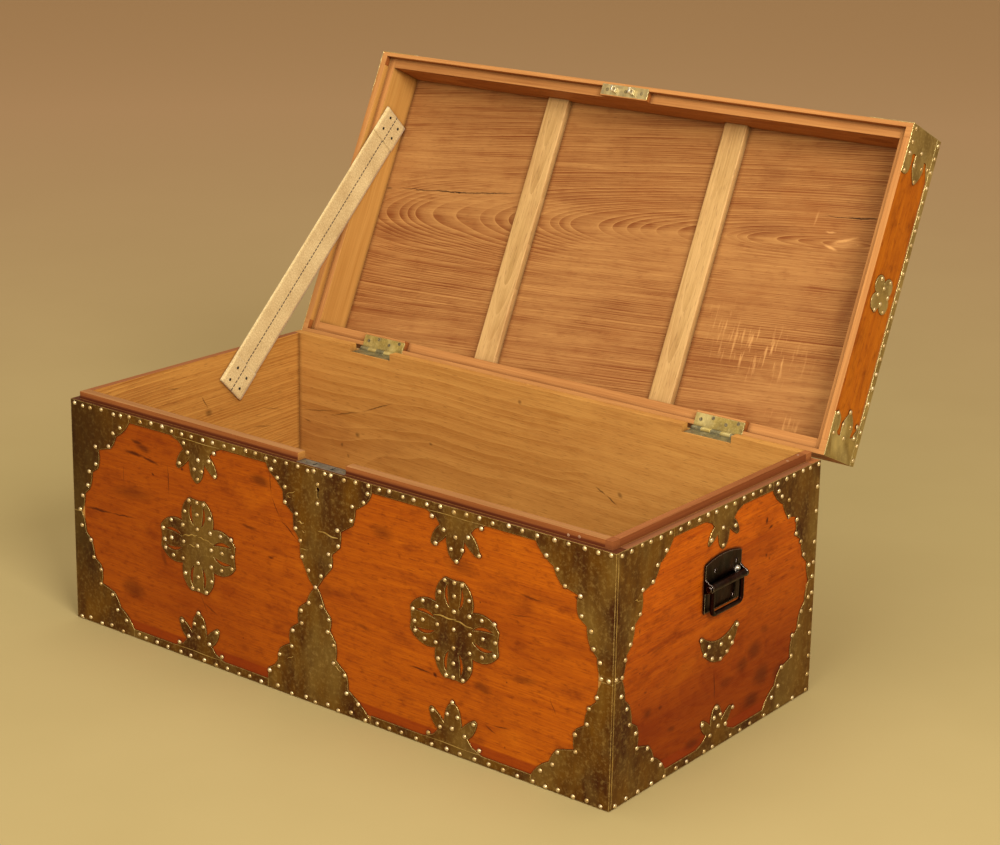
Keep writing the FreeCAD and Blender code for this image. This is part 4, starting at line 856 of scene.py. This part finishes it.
lid_nails = []
for sign, middle in PANELS.items():
    face = sign * HALF_LENGTH
    lid_nails += [on_lid((face, y, 399.8), (sign, 0, 0)) for y in row(-218, 217, 20.1)]
    lid_nails += [on_lid((face, -HALF_DEPTH + a, MOUTH + b), (sign, 0, 0)) for a, b in LID_FRONT_CORNER]
    lid_nails += [on_lid((face, 223.5 - a, MOUTH + b), (sign, 0, 0)) for a, b in LID_REAR_CORNER]
    lid_nails += [on_lid((face, a, MOUTH + b), (sign, 0, 0)) for a, b in LID_FOIL]
    lid_nails += [on_lid((sign * (HALF_LENGTH - a), -HALF_DEPTH, MOUTH + b), (0, -1, 0))
                  for a, b in LID_FRONT_CORNER]
    lid_nails += [on_lid((middle + a, -HALF_DEPTH, MOUTH + b), (0, -1, 0)) for a, b in LID_FOIL]
    lid_nails += [on_lid((sign * 451.2, y, 405.3), (0, 0, 1)) for y in row(-205, 212, 26)]
lid_nails += [on_lid((x, -HALF_DEPTH, 399.8), (0, -1, 0)) for x in row(-450, 450, 20.5)]
lid_nails += [on_lid((x, -217.8, 405.3), (0, 0, 1)) for x in row(-446, 446, 26)]
finished(repeated(NAIL, lid_nails), "lid_nails", nail_brass, "lid")

# Two pale pins left in the front rim's face and two in the right end's rim.
PIN = dome(1.8 * MM, 0.3 * MM)
pins = [standing_on((x * MM, -0.2170, z * MM), (0, -1, 0)) for x, z in ((384, 322.4), (399.6, 323.9))]
pins += [standing_on((x * MM, y * MM, 0.3295), UP) for x, y in ((441.1, 193.3), (443.5, 164))]
finished(repeated(PIN, pins), "rim_pins", pale_pin, "carcass")


# Creases in the brass

def spindle():
    """A fold's raised ridge: a long thin spindle, gently wavy, one metre long and two metres thick."""
    bm = bmesh.new()
    bmesh.ops.create_uvsphere(bm, u_segments=8, v_segments=18, radius=1.0)
    bmesh.ops.scale(bm, vec=(1, 1, 0.5), verts=bm.verts)
    for vert in bm.verts:
        vert.co.x += 0.7 * math.sin(vert.co.z * 9.0)
    return head_mesh("spindle", bm)


def fold(start, end, outward, thickness):
    """The placement of a raised fold in the sheet from start to end, in millimetres, half sunk in it."""
    start, end, out = (Vector(v) for v in (start, end, outward))
    long = (end - start).normalized()
    turn = Matrix((long.cross(out), out, long)).transposed().to_4x4()
    half = thickness * MM / 2
    return Matrix.Translation((start + end) / 2 * MM) @ turn @ Matrix.Diagonal(
        (half, half * 0.8, (end - start).length * MM, 1))


# Each fold runs from one place to another on the front (x, z), and has a thickness.
FRONT_FOLDS = ((-245, 172, -226, 177.5, 2.2), (-229, 176.5, -217, 178, 1.8), (-215, 177, -199, 176, 2.2),
               (-202, 176.2, -186, 173, 1.8), (190, 176.5, 226, 177.3, 2.2), (222, 177.2, 251, 173, 2.2),
               (0, 237.8, 34, 234.4, 2.4), (-35, 242.2, -24, 240.8, 2.4), (-28, 231, -23, 229, 1.4),
               (-31, 206, -16, 207.5, 1.2), (-54, 274, -39, 280, 1.4), (-53, 272, -47, 270, 1.2),
               (27, 64, 38, 57, 1.2), (-55, 50, -44, 55, 1.2), (-232, 163, -220, 161, 1.4))
folds = [fold((x1, -FRONT_BRASS / MM, z1), (x2, -FRONT_BRASS / MM, z2), (0, -1, 0), t)
         for x1, z1, x2, z2, t in FRONT_FOLDS]
for middle in PANELS.values():
    for low, high, z in ((-44, 44, 307.7), (-46, 46, 12.5)):
        folds.append(fold((middle + low, -FRONT_BRASS / MM, z), (middle + high, -FRONT_BRASS / MM, z),
                          (0, -1, 0), 1.0))
# The sheet's lapped edge down the right end, close to the arris, and a small dent's rim above it.
for low, high in ((8, 96), (92, 190), (186, 268), (262, 312)):
    folds.append(fold((END_BRASS / MM, -219.6, low), (END_BRASS / MM, -219.8, high), (1, 0, 0), 1.0))
folds += [fold((END_BRASS / MM, -184, 252), (END_BRASS / MM, -176, 247.5), (1, 0, 0), 1.6),
          fold((END_BRASS / MM, -178, 248), (END_BRASS / MM, -170, 247.5), (1, 0, 0), 1.3)]
finished(repeated(spindle(), folds), "front_brass_folds", fold_brass, "carcass")


# Screws and studs

# Countersunk in the plates, a seventh of a millimetre proud, so that the lid still shuts on them.
HEAD, PROUD = 0.9 * MM, 0.14 * MM
SCREW = slotted_head(3.0 * MM, HEAD)
# In millimetres: the hinges' places and length, the line of the lock, and a leaf's holes, each by its share
# of the length and its way from the pin.
HINGE_X, HINGE_LENGTH, LOCK_Y = 295, 76, -212.8
LEAF_HOLES = ((-0.38, 13.6), (-0.14, 18.5), (0.14, 13.6), (0.38, 18.5))


def leaf_screws(side_x):
    """Where one hinge leaf's four screws lie, with the turn of each slot."""
    return [(side_x + share * HINGE_LENGTH, HINGE_LINE.y / MM - back, shake.uniform(0, 3.14))
            for share, back in LEAF_HOLES]


def sunk(x, y, turn):
    """A screw from above in a plate level with the board's top."""
    return standing_on((x * MM, y * MM, BOARD_TOP + PROUD - HEAD), UP, turn)


def sunk_in_lid(x, y, turn):
    """A screw from below in a plate level with the lid rails' rim."""
    return LID_OPEN @ standing_on((x * MM, y * MM, LID_BASE - PROUD + HEAD), -UP, turn)


for side, sign in SIDES:
    finished(repeated(SCREW, [sunk(*place) for place in leaf_screws(HINGE_X * sign)]),
             f"{side}_carcass_leaf_screws", dull_steel, "carcass", False)
    finished(repeated(SCREW, [sunk_in_lid(*place) for place in leaf_screws(HINGE_X * sign)]),
             f"{side}_lid_leaf_screws", dull_steel, "lid", False)

finished(repeated(SCREW, [sunk(-34, LOCK_Y, 0.5), sunk(34, LOCK_Y, 1.9)]), "lock_plate_screws", dull_steel,
         "carcass", False)
finished(repeated(SCREW, [sunk_in_lid(x, LOCK_Y, turn) for x, turn in ((-30, 0.3), (2, 1.4), (29, 2.5))]),
         "link_plate_screws", dull_steel, "lid", False)
# The staples' ends, worn bright by the bolt.
tips = [LID_OPEN @ Matrix.Translation((x * MM, LOCK_Y * MM, 0.3066)) @ Matrix.Diagonal((1, 2.5, -1, 1))
        for x in (-15, 15)]
finished(repeated(dome(1.45 * MM, 0.6 * MM), tips), "link_staple_tips", bright_steel, "lid")

HANDLE_SCREW = dome(3.4 * MM, 1.3 * MM)
PLATE_FACE = END_WOOD + 0.0024
for side, sign in SIDES:
    heads = [standing_on((sign * PLATE_FACE, y * MM, z * MM), (sign, 0, 0))
             for y, z in ((-18, 240), (29, 240), (-24, 197), (24, 197))]
    finished(repeated(HANDLE_SCREW, heads), f"{side}_handle_screws", iron, "carcass")
# A bright screw put in later, at the back of the right handle's plate.
later = repeated(dome(4.4 * MM, 5.0 * MM), [standing_on((PLATE_FACE, 0.0290, 0.2295), (1, 0, 0))])
finished(later, "right_handle_later_screw", bright_steel, "carcass")


# Webbing stay

STAY_LOW = Vector((-0.4367, 0.0562, 0.2724))
STAY_HIGH = LID_OPEN @ Vector((-0.4367, -0.1339, 0.3654))
STAY_WIDTH, WEB, HEM = 0.055, 0.0018, 0.046
span = (STAY_HIGH - STAY_LOW).length
run = (STAY_HIGH - STAY_LOW).normalized()
cross = Vector(X).cross(run)


def band(name, body, start, length, width, lift, sag):
    """A flat woven band with rounded selvedges along the stay; its UV map is in metres."""
    bm = bmesh.new()
    bmesh.ops.create_grid(bm, x_segments=max(8, round(length / 0.004)), y_segments=12, size=0.5)
    bmesh.ops.scale(bm, vec=(length, width, 1), verts=bm.verts)
    bmesh.ops.translate(bm, vec=(start + length / 2, 0, lift), verts=bm.verts)
    uv = bm.loops.layers.uv.new("band")
    for face in bm.faces:
        for loop in face.loops:
            loop[uv].uv = (loop.vert.co.y, loop.vert.co.x)
    for vert in bm.verts:
        share = (vert.co.x - start) / length
        edge = abs(vert.co.y) / (width / 2)
        vert.co.z += sag * math.sin(math.pi * share) * (0.6 + 0.4 * edge)
    bmesh.ops.solidify(bm, geom=bm.faces[:], thickness=-WEB * 0.94)
    turn = Matrix((run, cross, Vector(X))).transposed().to_4x4()
    return finished(bm, name, webbing, body, place=Matrix.Translation(STAY_LOW) @ turn)


stay = band("stay_band", None, 0.0, span, STAY_WIDTH, 0.0, 0.0004)
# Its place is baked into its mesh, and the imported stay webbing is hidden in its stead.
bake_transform(stay)
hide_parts("stay_webbing")
low_hem = band("stay_low_hem", "carcass", 0.0, HEM, STAY_WIDTH * 0.985, WEB, 0.0)
high_hem = band("stay_high_hem", "lid", span - HEM, HEM, STAY_WIDTH * 0.985, WEB, 0.0)

TACK = dome(2.3 * MM, 0.8 * MM)


def tacks(from_low):
    """Four tacks in a square, from_low metres along the band from its lower end to their middle."""
    face = Vector((2 * WEB + 0.0001, 0, 0))
    return [standing_on(STAY_LOW + run * (from_low + a) + cross * b + face, (1, 0, 0))
            for a, b in ((-0.0095, -0.0125), (-0.0105, 0.0135), (0.0095, -0.0135), (0.011, 0.0125))]


low_tacks, high_tacks = [
    finished(repeated(TACK, tacks(from_low)), f"stay_{end}_tacks", black_tack, body)
    for end, body, from_low in (("low", "carcass", 0.021), ("high", "lid", span - 0.021))]


# Floor, light and camera

floor_bm = bmesh.new()
bmesh.ops.create_circle(floor_bm, cap_ends=True, segments=96, radius=24)
floor = finished(floor_bm, "studio_floor", studio_floor("matt_painted_floor"), None, False)

world = bpy.data.worlds.new("studio_air")
world.use_nodes = True
bpy.context.scene.world = world
air = world.node_tree.nodes["Background"]
air.inputs["Color"].default_value = hex_colour("#efcfa4")
air.inputs["Strength"].default_value = 0.6


def softbox(name, place, size, watts, colour):
    """A square studio lamp behind a diffuser, turned to the chest's middle."""
    lamp = bpy.data.lights.new(name, "AREA")
    lamp.shape, lamp.size, lamp.energy = "SQUARE", size, watts
    lamp.color = hex_colour(colour)[:3]
    piece = bpy.data.objects.new(name, lamp)
    piece.matrix_world = standing_on(place, Vector(place) - Vector((0, 0, 0.3)))
    bpy.context.scene.collection.objects.link(piece)


softbox("key_light", (2.9, -1.6, 2.5), 1.5, 150, "#fff2e0")
softbox("fill_light", (0.7, -3.9, 1.8), 2.2, 72, "#fff4e4")
softbox("top_light", (-0.2, 0.1, 3.4), 2.4, 42, "#fff8ee")

# The photograph's camera, worked out from the chest's straight edges, with its frame in pixels.
WIDTH, HEIGHT, FOCAL, CENTRE_X, CENTRE_Y = 1000, 845, 2244.52, 539.11, 327.32
YAW, PITCH, ROLL = (math.radians(a) for a in (37.23, 14.94, 1.26))
forward = Vector((-math.sin(YAW) * math.cos(PITCH), math.cos(YAW) * math.cos(PITCH), -math.sin(PITCH)))
level = Vector((math.cos(YAW), math.sin(YAW), 0))
upright = level.cross(forward)
right = level * math.cos(ROLL) + upright * math.sin(ROLL)
above = upright * math.cos(ROLL) - level * math.sin(ROLL)
lens = bpy.data.cameras.new("photograph_view")
lens.sensor_width = 36
lens.lens = FOCAL * lens.sensor_width / WIDTH
lens.shift_x = (WIDTH / 2 - CENTRE_X) / WIDTH
lens.shift_y = (CENTRE_Y - HEIGHT / 2) / WIDTH
lens.clip_start, lens.clip_end = 0.05, 80
camera = bpy.data.objects.new("photograph_view", lens)
eye = Vector((1.8193, -2.1698, 1.2144))
camera.matrix_world = Matrix.Translation(eye) @ Matrix((right, above, -forward)).transposed().to_4x4()
bpy.context.scene.collection.objects.link(camera)
bpy.context.scene.camera = camera
bpy.context.scene.view_settings.view_transform = "Standard"
